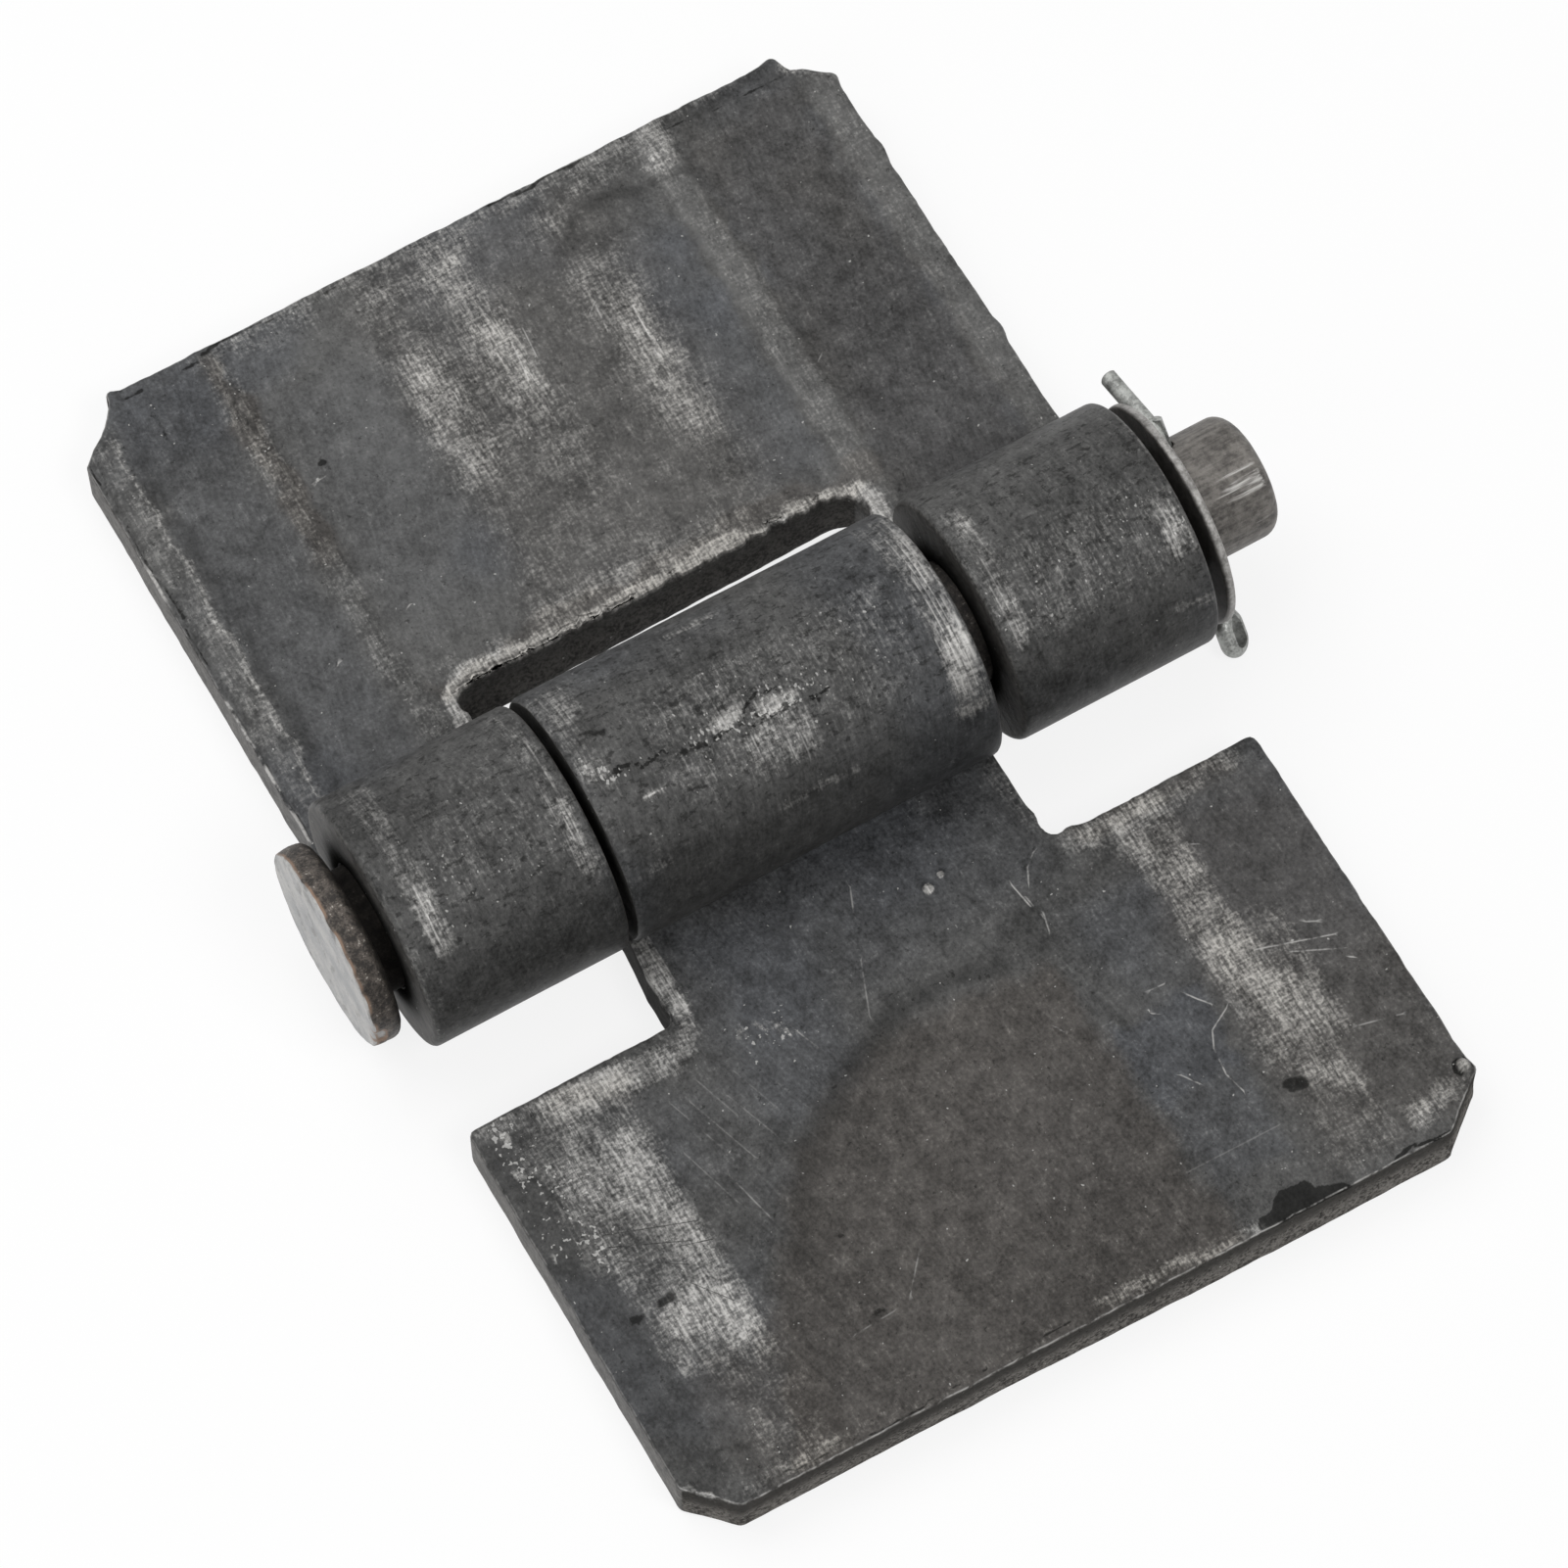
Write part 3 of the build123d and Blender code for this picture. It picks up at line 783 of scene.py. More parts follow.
# Marks of each leaf. Bends are relief left by the die, rubs are polished towards bare steel, darks are soft
# and spots crisp, warms are brown and cools bluish, and tones and bands make the scale lighter or darker.
# Places on the knuckles are x and the distance round the skin from the top, positive towards the fixed leaf.
fixed_marks = {
    "seed": 101,
    "ragged": 0.09,
    "front_lean": 0.0,
    "tone": 0.0,
    "knuckle_tone": -0.05,
    "knuckle_front_painted_shade": 0.36,
    "front_crest": 0.3,
    "at_slot": near_slot,
    "lip": slot_lip,
    "stain": nowhere,
    "wall_spot": nowhere,
    "nicks": many(
        Nick,
        (-37.9, 61.3, 0.6, 0.7), (-40.8, 59, 2.6, -0.4), (32.4, 61.8, 0.9, 0.35), (34, 60.4, 0.9, -0.5),
        (36.6, 57.2, 0.8, 0.3), (36.9, 26.5, 1, 0.4), (36.9, 48.5, 1.4, 0.25),
    ),
    "lumps": (),
    "bends": marked(
        (-42.5, -39.5, 6, 57, 0.28, 1.5, 0.26), (-43.1, -42.5, 4, 57, 0.2, 1, -0.3),
        (-29.8, -27.1, 12, 61, 0.3, 1.5, 0.18), (17, 20, 12, 61, 0.3, 1.5, 0.32),
        (33.6, 37.4, 8, 59, 0.8, 1.5, 0.1), (-38, 32, 60.2, 60.7, 1, 0.3, -0.14),
        (8, 55.5, 18, 55.6, 1.4, -0.12),
    ),
    "rubs": marked(
        (-42.4, -39.6, 9, 57, 0.25, 1.5, 0.22), (-40.1, -39.6, 12, 55, 0.12, 4, 0.42),
        (-29.6, -27.1, 13, 61, 0.4, 1.5, 0.27), (-15, 12, 20, 58, 2.5, 3, 0.08),
        (-12, 22, -12, 57, 3.2, 0.14), (-12.2, 38, -11.6, 50, 3, 0.24), (-4.6, 22, -5, 58, 3.4, 0.15),
        (-4.2, 42, -5, 57, 2.9, 0.19), (-3, 42.5, -4.5, 49, 1.4, 0.15), (7.6, 34, 7.2, 49, 3.3, 0.29),
        (8, 38, 7.8, 47, 1.6, 0.14), (8.6, 26, 8.2, 32, 2.2, 0.16), (5.5, 57, 9, 58.5, 1.8, 0.25),
        (17, 20, 14, 61, 0.35, 1.5, 0.22), (18.4, 56.5, 18.7, 60, 1.2, 0.32),
        (-27, 20, 59.9, 61.8, 1.5, 0.35, 0.36), (33.2, 60.4, 36.4, 57.4, 0.5, 0.4),
        (-25, 58.6, -18, 59.2, 1.1, 0.25), (-13, 58, -2, 58.7, 1.5, 0.25), (11, 58.7, 16, 59.2, 1.2, 0.3),
        (20, 31, 60.6, 61.9, 1, 0.3, 0.18), (33.6, 37.2, 14, 57.5, 0.7, 1.5, 0.14),
        (-14, 21.3, 8, 21.1, 1.5, 0.24), (-24.5, 21, -18, 20.8, 0.9, 0.3),
    ),
    "darks": marked(
        # The first area is painted shade on the slope down from the raised band by the left edge
        (-39.3, -37.9, 12, 54, 0.5, 2, 0.36), (6, 53.8, 8.4, 55.6, 0.8, 0.4),
        (10.4, 56.2, 15, 56.1, 0.8, 0.42), (17, 55.9, 20, 55.2, 0.8, 0.4), (-28, 31.5, -28, 22, 0.5, 0.3),
        # The first area here is painted shade along the raised strip from x 17 to 20
        (16.3, 17.1, 20, 55, 0.3, 2, 0.18), (20.5, 32, 59.8, 61.4, 1, 0.3, 0.35),
    ),
    "spots": marked(
        (-42.85, -42.6, 9, 56, 0.1, 1, 0.62), (-37, 60.3, -27, 60.5, 0.22, 0.75),
        (-27, 60.5, 2, 61, 0.2, 0.62), (2, 61.1, 12, 61.2, 0.25, 0.75), (20, 59.7, 33, 59.5, 0.22, 0.62),
        (-35.5, 58, -34.9, 53.5, 0.35, 0.46), (-28, 56, -28.2, 51, 0.4, 0.34),
        (-27.4, 47, -27.3, 38, 0.3, 0.3), (-24, 45.3, -23.6, 45, 0.4, 0.9),
        (-29.6, -27.3, 22, 60, 0.3, 1.5, 0.24), (-42.2, -39.8, 12, 56, 0.3, 1.5, 0.26),
        (34.5, 58.5, 36, 57, 0.6, 0.45),
    ),
    "flecks": marked(
        (-41.9, -39.8, 14, 56, 0.3, 2, 0.22), (-29.4, -27.4, 20, 58, 0.4, 2, 0.3),
        (-25.4, 43.8, -24.2, 43.9, 0.4, 0.9),
    ),
    "warms": marked(
        (20.3, 33.4, 10, 59, 1.6, 2, 0.35), (-29.6, -27.2, 36, 60, 0.4, 2, 0.75),
        (-26, 20, 18, 21.3, 0.6, 0.6, 0.55), (-14, 12, 20, 60, 3, 3, 0.25),
    ),
    "cools": marked(
        (-39, -30, 14, 60, 1.5, 3, 0.45), (9.5, 16.5, 22, 52, 1.5, 3, 0.55), (-26, -14, 26, 54, 3, 4, 0.3),
        (16.6, 20.2, 12, 61, 0.4, 1.5, -0.9), (33.4, 37.4, 10, 59, 0.8, 1.5, -0.9),
    ),
    "tones": marked(
        (-27, 17, 19, 62, 1.5, 2, 0.08), (-39, -30, 10, 62, 1, 2, -0.02), (20.3, 33.5, 10, 61, 1, 2, -0.04),
    ),
    "bands": marked(
        (17, 20, 12, 61, 0.25, 1.5, 0.2), (33.6, 37.4, 10, 59, 0.6, 1.5, 0.16),
        (-42.4, -39.5, 9, 57, 0.3, 1.5, 0.04),
    ),
    # Stretches of the left edge, rubbed bare and given a painted highlight
    "rubbed_highlit_edges": marked(
        (-44, -42, 12, 28.5, 0.5, 0.6, 1), (-44, -42, 40.2, 44, 0.5, 0.6, 1),
    ),
    "scratches": many(
        Scratch,
        (8.2, 40.8, 8.5, 46.2, 0.9), (7.9, 37.5, 8, 41, 0.7), (5.2, 44.2, 5.5, 47, 0.7),
        (-10.5, 41.5, -10.2, 45.5, 0.8), (-3.6, 43.5, -3.1, 47.5, 0.8), (-1.8, 45.2, -1.5, 48.2, 0.7),
        (4.7, 46.6, 5.9, 47.6, 0.7), (8.7, 26.7, 8.9, 27.2, 1), (-32.7, 26.4, -32.5, 26.6, 1),
        (-24.4, 28.4, -24, 28.6, 0.9), (20.8, 32, 21.1, 32.2, 0.8), (-25.4, 43.8, -24.2, 43.9, 0.9),
    ),
    "knuckle_rubs": marked(
        (-41, -38.5, -9.5, 10, 0.3, 1, 0.34), (-40.2, -8.5, -39.6, -5, 1.1, 0.34),
        (-26.5, -24.3, -10, 10, 0.35, 1, 0.26), (-25.3, -8.5, -25, -3, 0.8, 0.26),
        (17.6, 19.8, -9, 6, 0.3, 1, 0.3), (18.5, -8.4, 18.7, -4, 0.8, 0.28),
        (18.6, 3, 18.9, 3.6, 0.8, 0.36), (33.4, 36.8, -9, -2.5, 0.4, 0.8, 0.3),
        (34.8, -8, 35.2, -4.5, 0.8, 0.28), (33, -13.2, 36, -13.8, 0.5, 0.46),
        (-38, -27, -7, 4, 1.5, 2, 0.16), (20, 33, -9.5, 0, 1.5, 2, 0.24),
    ),
    "knuckle_darks": marked(
        (-36, 3.5, -30, 2, 0.9, 0.25), (-43.4, -36, 0, 9, 0.8, 2, 0.22),
    ),
    "knuckle_spots": marked(
        (-37.5, 2.2, -31.5, 1.4, 0.6, 0.4), (-42, -25, -2, 6, 1, 2, 0.12), (19, 36, -4, 4, 1, 2, 0.12),
    ),
    "knuckle_flecks": marked(
        (-40, -26, -9, -1, 1, 1.5, 0.46), (18, 36, -9, -1, 1, 1.5, 0.5), (36.3, -9, 36.5, -4, 0.4, 0.9),
        (17.2, -8, 17.2, -1, 0.3, 0.8), (-42.6, 3, -42.2, 5, 0.5, 0.8),
    ),
    "knuckle_scratches": many(
        Scratch,
        (-40.7, -9.2, -40.6, -4.6, 0.55), (-40.1, -8.6, -40, -3.4, 0.65), (-39.4, -8, -39.4, -5.2, 0.5),
        (-26.2, -8.4, -26.1, -0.5, 0.4), (-25.6, -9, -25.5, -4, 0.6), (-25, -7.6, -24.9, 4, 0.45),
        (17.9, -9, 17.8, -3.2, 0.5), (18.4, -8.2, 18.4, -0.6, 0.55), (19, -7.8, 19, -4.4, 0.4),
        (34.4, -8.4, 34.3, -4.6, 0.6), (34.9, -7.8, 34.8, -3.6, 0.7), (35.4, -7.2, 35.4, -4.2, 0.6),
        (35.9, -8.6, 35.8, -5.6, 0.45),
    ),
}
swing_marks = {
    "seed": 202,
    "ragged": 0.05,
    "front_lean": 0.42,
    "tone": -0.03,
    "knuckle_tone": 0.01,
    "knuckle_front_painted_shade": 0.45,
    "front_crest": 1.0,
    "at_slot": nowhere,
    "lip": nowhere,
    "stain": round_stain,
    "wall_spot": tongue_wall,
    "nicks": many(
        Nick,
        (16.6, 20.2, 0.8, 0.4), (14.4, 17.4, 0.8, 0.25), (35.8, 57.4, 0.7, 0.35),
    ),
    "lumps": many(
        Lump,
        (35, 57.1, 0.7, 1), (2.6, 19.1, 0.6, 0.32), (4.3, 18.4, 0.4, 0.16), (-42.6, 59, 0.9, 0.18),
    ),
    "bends": marked(
        (-43.9, 57.2, -40.6, 60.6, 0.5, 0.3),
    ),
    "rubs": marked(
        (-39.4, -30.2, 20, 48, 0.6, 2.5, 0.34), (-37, 20.9, -30, 21.3, 1.4, 0.36),
        (-33, 27.5, -32, 36, 2.2, 0.34), (-37, 27, -36, 31, 1.4, 0.24), (-34, 42, -32, 47.5, 2.2, 0.3),
        (-37, 43.2, -36, 44.5, 1.2, 0.32), (-36.5, -30.2, 48, 60, 0.5, 2.5, 0.2),
        (-43.5, 19.8, -30, 20.1, 0.7, 0.32), (-31, 21.3, -23, 20.8, 1.3, 0.52),
        (-29.5, 22.4, -25, 22.6, 0.4, 0.36), (-23.6, -21.2, 4, 19.5, 0.25, 1.5, 0.62),
        (13, 14.6, 9, 19, 0.3, 1.5, 0.26), (20.1, 25.4, 20, 38, 0.5, 2, 0.46),
        (20.1, 29, 36, 49.5, 0.6, 2.5, 0.29), (23, 40, 27, 48, 2, 0.26), (24, 50.8, 26, 52.6, 1.4, 0.34),
        (20.4, 27, 50, 60.5, 0.6, 2, 0.22), (16, 21.3, 33, 21.6, 1.1, 0.38), (18, 22, 21, 25, 1.2, 0.22),
        (29, 58.8, 34, 58.2, 1.3, 0.46), (-4, 60.6, 11.5, 60.9, 0.6, 0.48),
        (-39, 59.8, -30, 60.1, 0.7, 0.34), (-30, 60.2, -6, 60.6, 0.4, 0.22),
        (-43.6, 57.4, -40.6, 60.5, 0.35, 0.55), (-41.9, 24.2, -41.8, 24.9, 0.5, 0.75),
        (-42, 20.8, -41.8, 21.2, 0.4, 0.75), (-41.2, -39.4, 20, 37, 0.4, 2, 0.24),
        (-19, 22.8, -18.8, 23.2, 0.5, 0.55), (-17.2, 22.6, -16.6, 23.3, 0.5, 0.5),
        (-15.4, 23.4, -14.8, 24.6, 0.5, 0.45),
    ),
    "darks": marked(
        (-44.4, -39.9, 20.8, 59, 0.4, 1.2, 0.22), (-29.6, 22.9, -23, 22.6, 0.5, 0.4),
        (-40, 55.4, -37.5, 55.8, 0.5, 0.35), (14.8, 45, 19.5, 42.8, 0.9, 0.25),
        (26, 35.8, 24, 37, 1.2, 1.5, 0.16), (-24.5, 44, -20.6, 37, 1.3, 0.3),
        (-19.4, 35.4, -13, 30.8, 1.4, 0.36), (-11.2, 29.8, -5.4, 28, 1.3, 0.4),
        (-3.4, 27.5, 4, 28.2, 1.2, 0.38), (-37.5, 33.5, -33, 36, 1.8, 0.18),
    ),
    "spots": marked(
        (20.6, 51.2, 21.5, 51.4, 0.85, 0.8), (12.5, 61.2, 19.5, 61.6, 0.9, 1),
        (14.5, 60.2, 17, 60, 0.8, 0.95), (19.5, 61.7, 31, 61.8, 0.25, 0.85),
        (-37.2, 41.4, -36, 41.6, 0.75, 0.7), (-39.9, 41.2, -39.5, 41.3, 0.7, 0.62),
        (-22.2, 51.8, -20.8, 51.9, 0.6, 0.55), (-18.2, 47.2, -17.4, 47.4, 0.6, 0.52),
        (-21.6, 43.8, -20.6, 43.9, 0.6, 0.48), (-44.4, -39.9, 20.8, 59, 0.4, 1.2, 0.31),
        (34.3, 58.3, 35.2, 58.3, 0.3, 0.6), (-38, 60.3, -6, 60.9, 0.16, 0.6),
        (-24.5, 44, -20.6, 37, 1.1, 0.34), (-19.4, 35.4, -13, 30.8, 1.1, 0.41),
        (-11.2, 29.8, -5.4, 28, 1, 0.45), (-3.4, 27.5, 4, 28.2, 1, 0.44), (-20, 42.5, -10, 39, 1.2, 0.22),
        (-43.6, 58.3, -40.5, 61.2, 0.35, 0.55),
    ),
    "flecks": marked(
        (-43.5, -39.2, 19.5, 37, 0.5, 2, 0.75), (-39.5, 24, -39.6, 36, 0.4, 0.9),
        (-19.5, -14, 22, 25.5, 0.6, 0.8, 0.75), (-42, 20.5, -41.8, 25, 0.8, 0.6),
        (-39, -36.5, 24, 36, 0.6, 2, 0.4),
    ),
    "warms": marked(
        (-36, 20.8, -31, 21.2, 1.6, 0.45), (17, 21, 31, 21.4, 1.4, 0.55), (-38, -30, 48, 61, 2, 2, 0.55),
        (20, 36, 24, 60, 2, 3, 0.5),
    ),
    "cools": marked(
        (9.8, 18.6, 38.5, 47.5, 0.5, 0.8, 0.95), (10, 18, 47.5, 57, 0.8, 1.5, 0.6),
        (-22, 14, 8, 24, 3, 4, 0.5),
    ),
    "tones": marked(
        (-30, 10, 30, 62, 3, 3, -0.03), (10, 20, 20, 62, 1, 2, -0.02), (-30, 20, 5, 30, 2, 4, -0.02),
    ),
    "bands": (),
    "rubbed_highlit_edges": (),
    "scratches": many(
        Scratch,
        (-23.3, 8.5, -23.4, 18.6, 0.7), (-22.8, 10, -22.9, 19.6, 0.8), (-22.3, 8, -22.3, 17.5, 0.6),
        (-21.8, 10.5, -21.9, 20.2, 0.7), (-21.3, 9.5, -21.3, 15.5, 0.5), (9.3, 22.4, 9.7, 25, 1),
        (9.8, 24, 10.2, 26.6, 0.9), (9.9, 28, 10.4, 26, 0.8), (10.7, 23, 11.4, 21.6, 0.9),
        (11.4, 21.6, 12.6, 20.6, 0.7), (24.9, 26.7, 25.8, 27.2, 1), (25, 38.5, 31.8, 40.7, 0.8),
        (27.5, 40.2, 31.7, 42.2, 0.8), (30.2, 38.4, 31, 38.8, 0.8), (29, 49.2, 33, 50.2, 0.6),
        (17.3, 39, 18, 40, 1), (18, 40, 18.8, 41, 0.9), (19.8, 42, 17.6, 43.2, 0.8),
        (17.6, 43.2, 16.8, 44.8, 0.9), (16.8, 44.8, 16.5, 47.4, 1), (16.5, 47.4, 17, 49.5, 1),
        (13, 45.5, 14, 47, 0.7), (14.8, 37.2, 16.2, 37.3, 0.7), (13.8, 39.2, 14.1, 39.4, 1),
        (31.8, 43.2, 32.1, 43.4, 1), (-43.6, 34.6, -43.2, 33.2, 1), (-3.3, 15.4, -4.4, 18, 0.6),
        (-6, 22, -8, 27, 0.45), (-26.2, 34, -24.9, 39.6, 0.45), (-27.4, 25.4, -25.6, 31, 0.25),
        (-25.8, 26.2, -23.4, 33.6, 0.3), (-24.2, 25, -22.8, 29.4, 0.22), (-22.6, 27.4, -20.4, 33.8, 0.28),
        (-21, 25.6, -19.6, 30, 0.22), (-28.6, 30.2, -26.8, 36.4, 0.25), (-18.8, 26.8, -17.2, 31.4, 0.2),
        (-14.5, 24.5, -13.6, 27, 0.5), (5.8, 36.2, 6, 36.6, 0.9), (8.4, 53.6, 18, 53.8, 0.22),
        (-18, 51.4, -15.4, 48.4, 0.45), (-24, 52.2, -20, 52, 0.35), (-38.4, 33.4, -30.8, 36.2, -0.7),
        (-38.6, 34.6, -32, 37.6, -0.7), (-38.4, 36.2, -33, 39.6, -0.6), (-34, 41, -31.6, 44.2, -0.7),
        (-33, 37.6, -30.4, 38.4, -0.6), (-36.8, 31, -31, 32.4, -0.5),
    ),
    "knuckle_rubs": marked(
        (-22.4, -20, -3, 10, 0.35, 1.2, 0.24), (-21.6, -1.2, -20.4, -3, 0.9, 0.34),
        (-19.6, 9, -20.2, 5, 1.2, 0.42), (10.8, 14.6, -13, 10, 0.3, 1, 0.34),
        (12, -9.4, 13, -5.6, 1.3, 0.46), (13.4, 0, 13.2, 6, 0.7, 0.3),
        (-8.6, -1.8, -9, -4.6, 0.35, 0.7, 0.22), (-5.6, -3.3, -2.6, -3.5, 0.75, 0.5),
        (-9.8, -2.8, -7.8, -2.6, 0.7, 0.5), (-16, 9.5, -8, 2.5, 2, 1.5, 0.2),
        (-9, 8.6, -4.5, 8.5, 0.6, 0.48), (-7, -12.2, 0, -12.6, 0.5, 0.42),
        (-20.6, -12, -18.2, -12, 0.4, 0.46), (10.8, -12.5, 13.2, -12.6, 0.6, 0.46),
        (-18.6, -5.9, -16.4, -5.8, 0.3, 0.6),
    ),
    "knuckle_darks": marked(
        (-19, -2.6, -14.5, -3.4, 1, 0.16), (-22, 1, -19, 2.6, 0.7, 0.3),
    ),
    "knuckle_spots": marked(
        (-20, 2, -4.6, -1.6, 1.5, 0.8, 0.2), (-21, 2.4, -18.6, 1.4, 0.5, 0.55),
        (-20, 10, -3, 6, 1, 2, 0.12),
    ),
    "knuckle_flecks": marked(
        (-21.5, -0.9, -19.7, -3.3, 1, 1.3), (-13, 0, -4.4, -2, 1, 0.6, 0.46), (-16, 9, -8, 2, 2, 2, 0.48),
    ),
    "knuckle_scratches": many(
        Scratch,
        (11.3, -9.6, 11.2, -5, 0.8), (11.8, -10.4, 11.7, -4.2, 0.7), (12.2, -9.8, 12.2, 1, 0.85),
        (12.7, -8.8, 12.6, 3, 0.8), (13.1, -9.6, 13, 5.4, 0.9), (13.5, -4, 13.5, 9, 0.7),
        (13.9, -9, 13.8, -3.4, 0.8), (13.9, -1, 13.9, 8.4, 0.6), (12.4, 2.4, 12.4, 9.6, 0.55),
        (11.5, 4, 11.5, 9, 0.4), (-21.6, 4.4, -21.6, 9.4, 0.35), (-20.9, 3.6, -20.9, 9.8, 0.45),
        (-7.4, -8.6, -7.4, -5.4, 0.4), (-4.6, -8.8, -4.6, -5, 0.55), (-3.4, -8.9, -3.4, -5.6, 0.4),
        (-19.4, -2.2, -17.2, -3, -0.8, 0.5), (-16.6, -2.9, -13.2, -3.4, -0.75, 0.45),
        (-12.6, -3.3, -10.4, -4, -0.85, 0.5), (-10, -4.1, -7.2, -3.8, -0.95, 0.5),
        (-6.8, -4.2, -3.4, -4.2, -0.85, 0.4), (-3, -4.4, 0.6, -4.5, -0.75, 0.38),
        (-7, -2.9, -5.6, -2.2, -0.8, 0.3), (-5.3, -2.1, -3, -2.4, -0.7, 0.28),
    ),
}
leaf_material = leaf_steel()
fixed_leaf = shaped_leaf("fixed_leaf_plate", 1, fixed_corners, fixed_marks, leaf_material)
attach(fixed_leaf, "fixed_leaf")
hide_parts("fixed_leaf")
swing_leaf = shaped_leaf("swing_leaf_plate", -1, swing_corners, swing_marks, leaf_material)
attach(swing_leaf, "swing_leaf")
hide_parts("swing_leaf")

# Pin: a turned profile of (x, radius), finer where it shows
head_thickness = 3.0
head_radius = pin_high[2] - knuckle_radius
pin_radius = 6.0
head_face_round = 0.35
head_back_round = 1.1
tail_round = 1.6
pin_segments = 220
hole_radius = 1.1
hole_slope = math.radians(46)
wire_side_gap = 0.15  # washer to the split pin
wire_radius = 0.9
hole_x = washer_high[0] + wire_side_gap + wire_radius
head_face, head_seat, pin_tip = pin_low[0], pin_low[0] + head_thickness, pin_high[0]


def pin_profile():
    """Rings of the pin from the middle of its head's face to the middle of its tip."""
    rings = [(head_face, head_radius * k / 16) for k in range(1, 16)]
    for sin, cos in quarter(4):
        rings.append((head_face + head_face_round * (1 - cos), head_radius - head_face_round * (1 - sin)))
    rings += [(x, head_radius) for x in np.linspace(head_face + 0.46, head_seat - head_back_round - 0.1, 11)]
    for sin, cos in quarter(7):
        rings.append((head_seat - head_back_round * (1 - sin), head_radius - head_back_round * (1 - cos)))
    rings += [(head_seat, r) for r in np.linspace(head_radius - 1.5, pin_radius + 0.2, 4)]
    rings += [(x, pin_radius) for x in np.linspace(head_seat, washer_low[0] - 3.0, 16)]
    rings += [(x, pin_radius) for x in np.linspace(washer_low[0] - 2.0, pin_tip - tail_round - 0.2, 26)]
    for sin, cos in quarter(8):
        rings.append((pin_tip - tail_round * (1 - sin), pin_radius - tail_round * (1 - cos)))
    rings += [(pin_tip, pin_radius * k / 10) for k in range(7, 0, -1)]
    return np.array(rings)


def turned_rings(section, segments):
    """x, radius and angle of each point, when a section of (x, radius) is turned round the pin."""
    turn = np.tile(np.arange(segments) * 2 * math.pi / segments, len(section))
    return np.repeat(section[:, 0], segments), np.repeat(section[:, 1], segments), turn


def ring_faces(count, segments, closed=False):
    """Faces between rings of points, with the last ring joined to the first where closed."""
    faces = []
    for k in range(count if closed else count - 1):
        here, there = k * segments, (k + 1) % count * segments
        for i in range(segments):
            j = (i + 1) % segments
            faces.append((there + i, there + j, here + j, here + i))
    return faces


def beside(turn, degrees, width):
    """1 at an angle round the pin, falling to 0 a width of radians away."""
    gap = (turn - math.radians(degrees) + math.pi) % (2 * math.pi) - math.pi
    return np.exp(-((gap / width) ** 2))


def make_pin():
    """The pin turned from its profile, with an uneven forged head and a scraped tail."""
    rings = pin_profile()
    x, r, turn = turned_rings(rings, pin_segments)
    cos, sin = np.cos(turn), np.sin(turn)
    on_head = smooth(x, head_seat + 0.1, head_seat - 0.05)
    on_rim = on_head * smooth(r, head_radius * 0.85, head_radius * 0.97)
    on_tail = smooth(x, washer_low[0], washer_low[0] + 1.5)
    # The rubbed face ends in a ragged line a little way round the head's rim
    ragged = noise(cos * 9.6 + 40, sin * 9.6 + 40, 1.6, 91)
    past_face = x - head_face - 0.20 - 0.22 * ragged
    on_face = on_head * smooth(past_face, 0.10, -0.08)
    # The head's rim bulges unevenly, its face has low hollows, and a flake has come off its lower edge
    uneven = noise(cos * 6 + 40, sin * 6 + 40, 2.5, 81)
    rough = noise(cos * 9.6 + x + 40, sin * 9.6 - x + 40, 0.9, 83)
    flake = beside(turn, 184, 0.11) * on_rim * smooth(x, head_face + 1.5, head_face + 0.9)
    bulge = smooth(x, head_face, head_face + 1.2)
    r_new = r + on_rim * (0.10 * uneven + 0.12 * rough * bulge + 0.10 * bulge - 0.15) - 0.5 * flake
    r_new = r_new + on_tail * 0.05 * noise(cos * 6 + 40, sin * 6 + 40 + 0.15 * x, 1.4, 85)
    y, z = r_new * cos, r_new * sin
    hollow = 0.06 * (1 + noise(y + 30, z + 30, 4.0, 87)) + 0.05 * (1 + noise(y + 30, z + 30, 1.2, 88))
    points = np.column_stack([x + on_face * hollow, y, z + knuckle_radius])
    faces = ring_faces(len(rings), pin_segments)
    face_cap = range(pin_segments)
    tip_cap = range(len(points) - 1, len(points) - 1 - pin_segments, -1)
    faces += [tuple(face_cap), tuple(tip_cap)]
    copper = on_rim * smooth(past_face, -0.06, 0.06) * smooth(past_face, 0.38, 0.16)
    copper = copper * smooth(ragged, -0.4, 0.3) + smooth(flake, 0.08, 0.25) * smooth(flake, 0.6, 0.4)
    shank = smooth(x, head_seat - 0.2, head_seat + 0.1) * smooth(x, washer_high[0], washer_low[0])
    scraped = on_tail * (beside(turn, 118, 0.42) + 0.55 * beside(turn, 160, 0.25))
    scraped = scraped * smooth(x, pin_tip - 8.0, pin_tip - 3.4) * smooth(x, pin_tip - 0.2, pin_tip - 1.2)
    values = {
        "flat": np.column_stack([x, y, z]),
        "rust": np.clip(on_head * (1 - on_face) + shank, 0, 1),
        "pale": np.clip(on_face + 0.9 * smooth(flake, 0.45, 0.7), 0, 1),
        "copper": np.clip(copper, 0, 0.8),
        # dark: grime and painted shade on the shank, and painted shade on the back of the head facing the
        # knuckle
        "dark": np.clip(0.55 * shank + 0.5 * on_head * smooth(x, head_seat - 0.9, head_seat - 0.2), 0, 0.95),
        "scraped": np.clip(0.66 * scraped, 0, 1),
    }
    return make_mesh("pin_turned", points, faces, values, pin_steel())


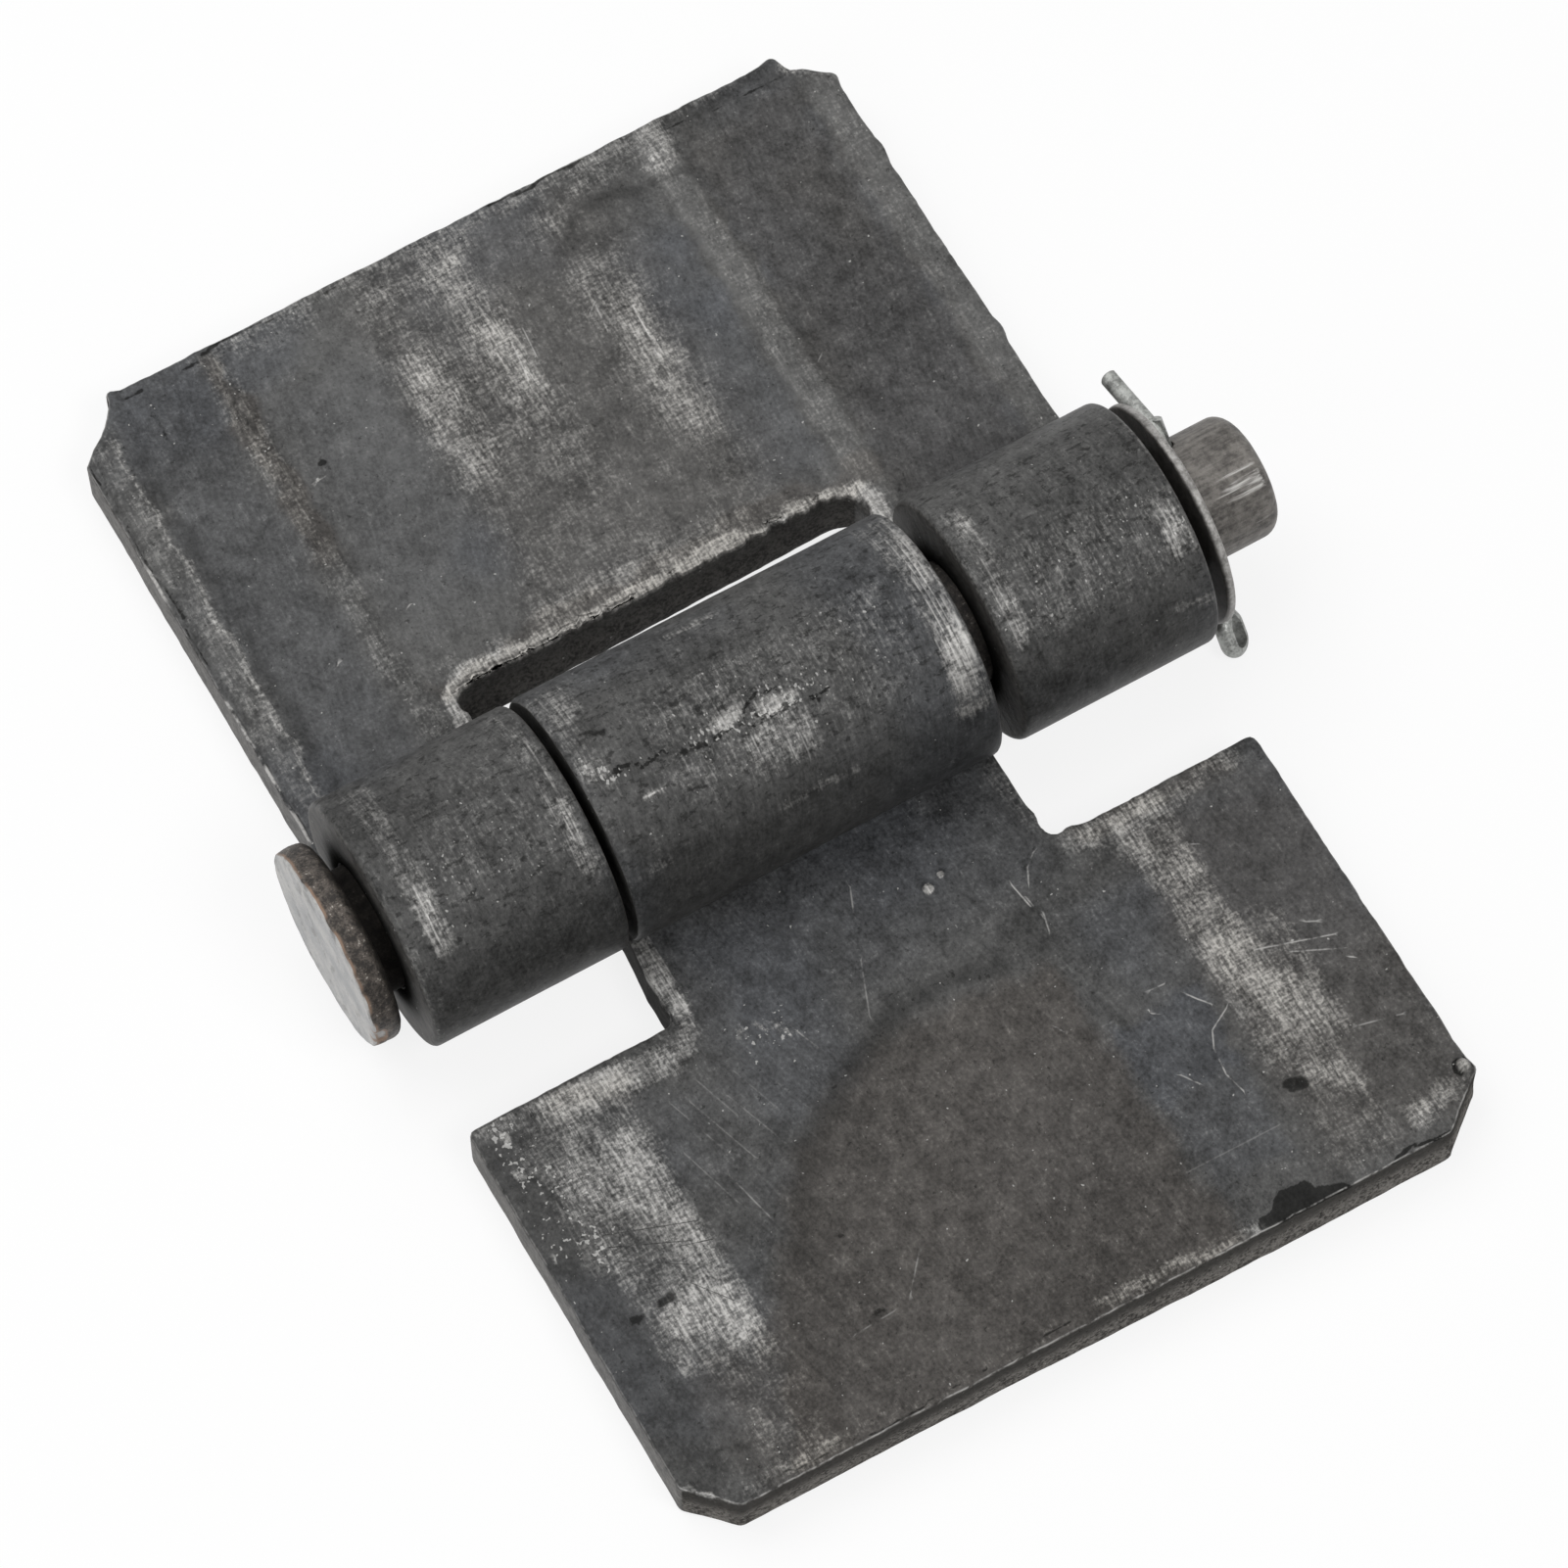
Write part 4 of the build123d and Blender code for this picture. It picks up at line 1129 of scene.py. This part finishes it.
def drill(pin):
    """Cut the cross hole of the split pin."""
    direction = Vector((0, math.cos(hole_slope), math.sin(hole_slope)))
    bpy.ops.mesh.primitive_cylinder_add(
        vertices=32,
        radius=hole_radius * MM,
        depth=4 * pin_radius * MM,
        location=(hole_x * MM, 0, knuckle_radius * MM),
        rotation=direction.to_track_quat("Z", "Y").to_euler(),
    )
    tool = bpy.context.object
    cut = pin.modifiers.new("cross_hole", "BOOLEAN")
    cut.operation = "DIFFERENCE"
    cut.solver = "EXACT"
    cut.object = tool
    drilled = bpy.data.meshes.new_from_object(pin.evaluated_get(bpy.context.evaluated_depsgraph_get()))
    pin.modifiers.clear()
    pin.data = drilled
    bpy.data.objects.remove(tool)


pin = make_pin()
drill(pin)
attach(pin, "pin_set")
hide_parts("hinge_pin")

# Washer: a stamped ring, dished a little, with a rounded rim
washer_segments = 160
washer_bore = 6.5
washer_round = 0.25
washer_swell = 0.03  # the rim's middle stands out this far


def make_washer():
    """The washer as rings round its section."""
    left, right = washer_low[0], washer_high[0]
    outer = (washer_high[2] - washer_low[2]) / 2
    middle = (washer_high[2] + washer_low[2]) / 2
    section = [(left, r) for r in np.linspace(washer_bore, outer - washer_round - 0.1, 7)]
    for sin, cos in quarter(3):
        section.append((left + washer_round * (1 - cos), outer - washer_round * (1 - sin)))
    section.append(((left + right) / 2, outer + washer_swell))
    for sin, cos in quarter(3):
        section.append((right - washer_round * (1 - sin), outer - washer_round * (1 - cos)))
    section += [(right, r) for r in np.linspace(outer - washer_round - 0.1, washer_bore, 7)]
    section = np.array(section)
    x, r, turn = turned_rings(section, washer_segments)
    cos, sin = np.cos(turn), np.sin(turn)
    rim = smooth(r, outer - 0.8, outer - 0.2)
    r_new = r + rim * 0.06 * noise(cos * 11 + 40, sin * 11 + 40, 3.0, 93)
    points = np.column_stack([x, r_new * cos, r_new * sin + middle])
    faces = [face[::-1] for face in ring_faces(len(section), washer_segments, closed=True)]
    values = {
        "flat": np.column_stack([x, r_new * cos, r_new * sin]),
        "rim": np.clip(rim * smooth(x, left + 0.15, left + 0.35), 0, 1),
    }
    return make_mesh("washer_ring", points, faces, values, washer_steel())


washer = make_washer()
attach(washer, "pin_set")
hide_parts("washer")

split_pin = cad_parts["cotter_pin"].data
split_pin.materials.clear()
split_pin.materials.append(zinc_steel())


# Studio, in metres
floor_size = 6.0
floor_gap = 0.05 * MM  # floor to the backs of the leaves


def seen_rays(tree):
    """1 for the rays that see the backdrop as white: camera, glossy and transmission."""
    path = add_node(tree, "LightPath", {})
    total = path.outputs["Is Camera Ray"]
    for name in ("Is Glossy Ray", "Is Transmission Ray"):
        total = add_node(tree, "Math", {0: total, 1: path.outputs[name]}, operation="MAXIMUM").outputs[0]
    return total


def white_world(diffuse_level):
    """White where it is seen, and a dimmer even light on the object."""
    world = bpy.data.worlds.new("studio")
    world.use_nodes = True
    tree = world.node_tree
    inputs = {"Value": seen_rays(tree), "To Min": diffuse_level, "To Max": 1.0}
    level = add_node(tree, "MapRange", inputs).outputs["Result"]
    background = tree.nodes["Background"]
    put(tree, background.inputs["Color"], (1, 1, 1, 1))
    put(tree, background.inputs["Strength"], level)
    bpy.context.scene.world = world


def white_floor(shadow_share):
    """A pale floor that keeps a light shadow: part lit, part plain white where it is seen."""
    bpy.ops.mesh.primitive_plane_add(size=floor_size, location=(0, 0, -floor_gap))
    floor = bpy.context.object
    floor.name = "floor"
    material = bpy.data.materials.new("floor")
    material.use_nodes = True
    tree = material.node_tree
    tree.nodes.remove(tree.nodes["Principled BSDF"])
    lit = add_node(tree, "BsdfDiffuse", {"Color": (0.98, 0.98, 0.98, 1)})
    white = add_node(tree, "Emission", {})
    share = add_node(tree, "Math", {0: seen_rays(tree), 1: 1 - shadow_share}, operation="MULTIPLY")
    mix = add_node(tree, "MixShader", {"Fac": share.outputs[0], 1: lit.outputs[0], 2: white.outputs[0]})
    put(tree, tree.nodes["Material Output"].inputs["Surface"], mix.outputs[0])
    floor.data.materials.append(material)


def softbox(name, place, size, watts):
    """A large square lamp aimed at the hinge."""
    lamp = bpy.data.lights.new(name, "AREA")
    lamp.size = size
    lamp.energy = watts
    made = bpy.data.objects.new(name, lamp)
    made.location = place
    made.rotation_euler = (-Vector(place)).to_track_quat("-Z", "Y").to_euler()
    bpy.context.scene.collection.objects.link(made)


def photo_camera(azimuth, elevation, distance, target, lens):
    """The camera at the photograph's angle; azimuth and elevation in degrees, places in metres."""
    a, e = math.radians(azimuth), math.radians(elevation)
    back = Vector((math.sin(a) * math.cos(e), -math.cos(a) * math.cos(e), math.sin(e)))
    data = bpy.data.cameras.new("camera")
    data.lens = lens
    data.sensor_width = 36.0
    camera = bpy.data.objects.new("camera", data)
    camera.location = Vector(target) + back * distance
    camera.rotation_euler = (-back).to_track_quat("-Z", "Y").to_euler()
    bpy.context.scene.collection.objects.link(camera)
    bpy.context.scene.camera = camera


white_world(diffuse_level=0.30)
white_floor(shadow_share=0.17)
softbox("key", (-0.20, 0.40, 0.80), size=0.7, watts=4.5)
softbox("fill", (-0.7, -0.2, 0.45), size=0.5, watts=0.8)
softbox("front", (0.14, -0.42, 0.74), size=0.30, watts=1.95)
view_centre = (mark_zero * MM - 0.002097, -0.001421, 0.0)
photo_camera(azimuth=-29.744, elevation=65.904, distance=0.63851, target=view_centre, lens=161.74)
bpy.context.scene.view_settings.view_transform = "Standard"
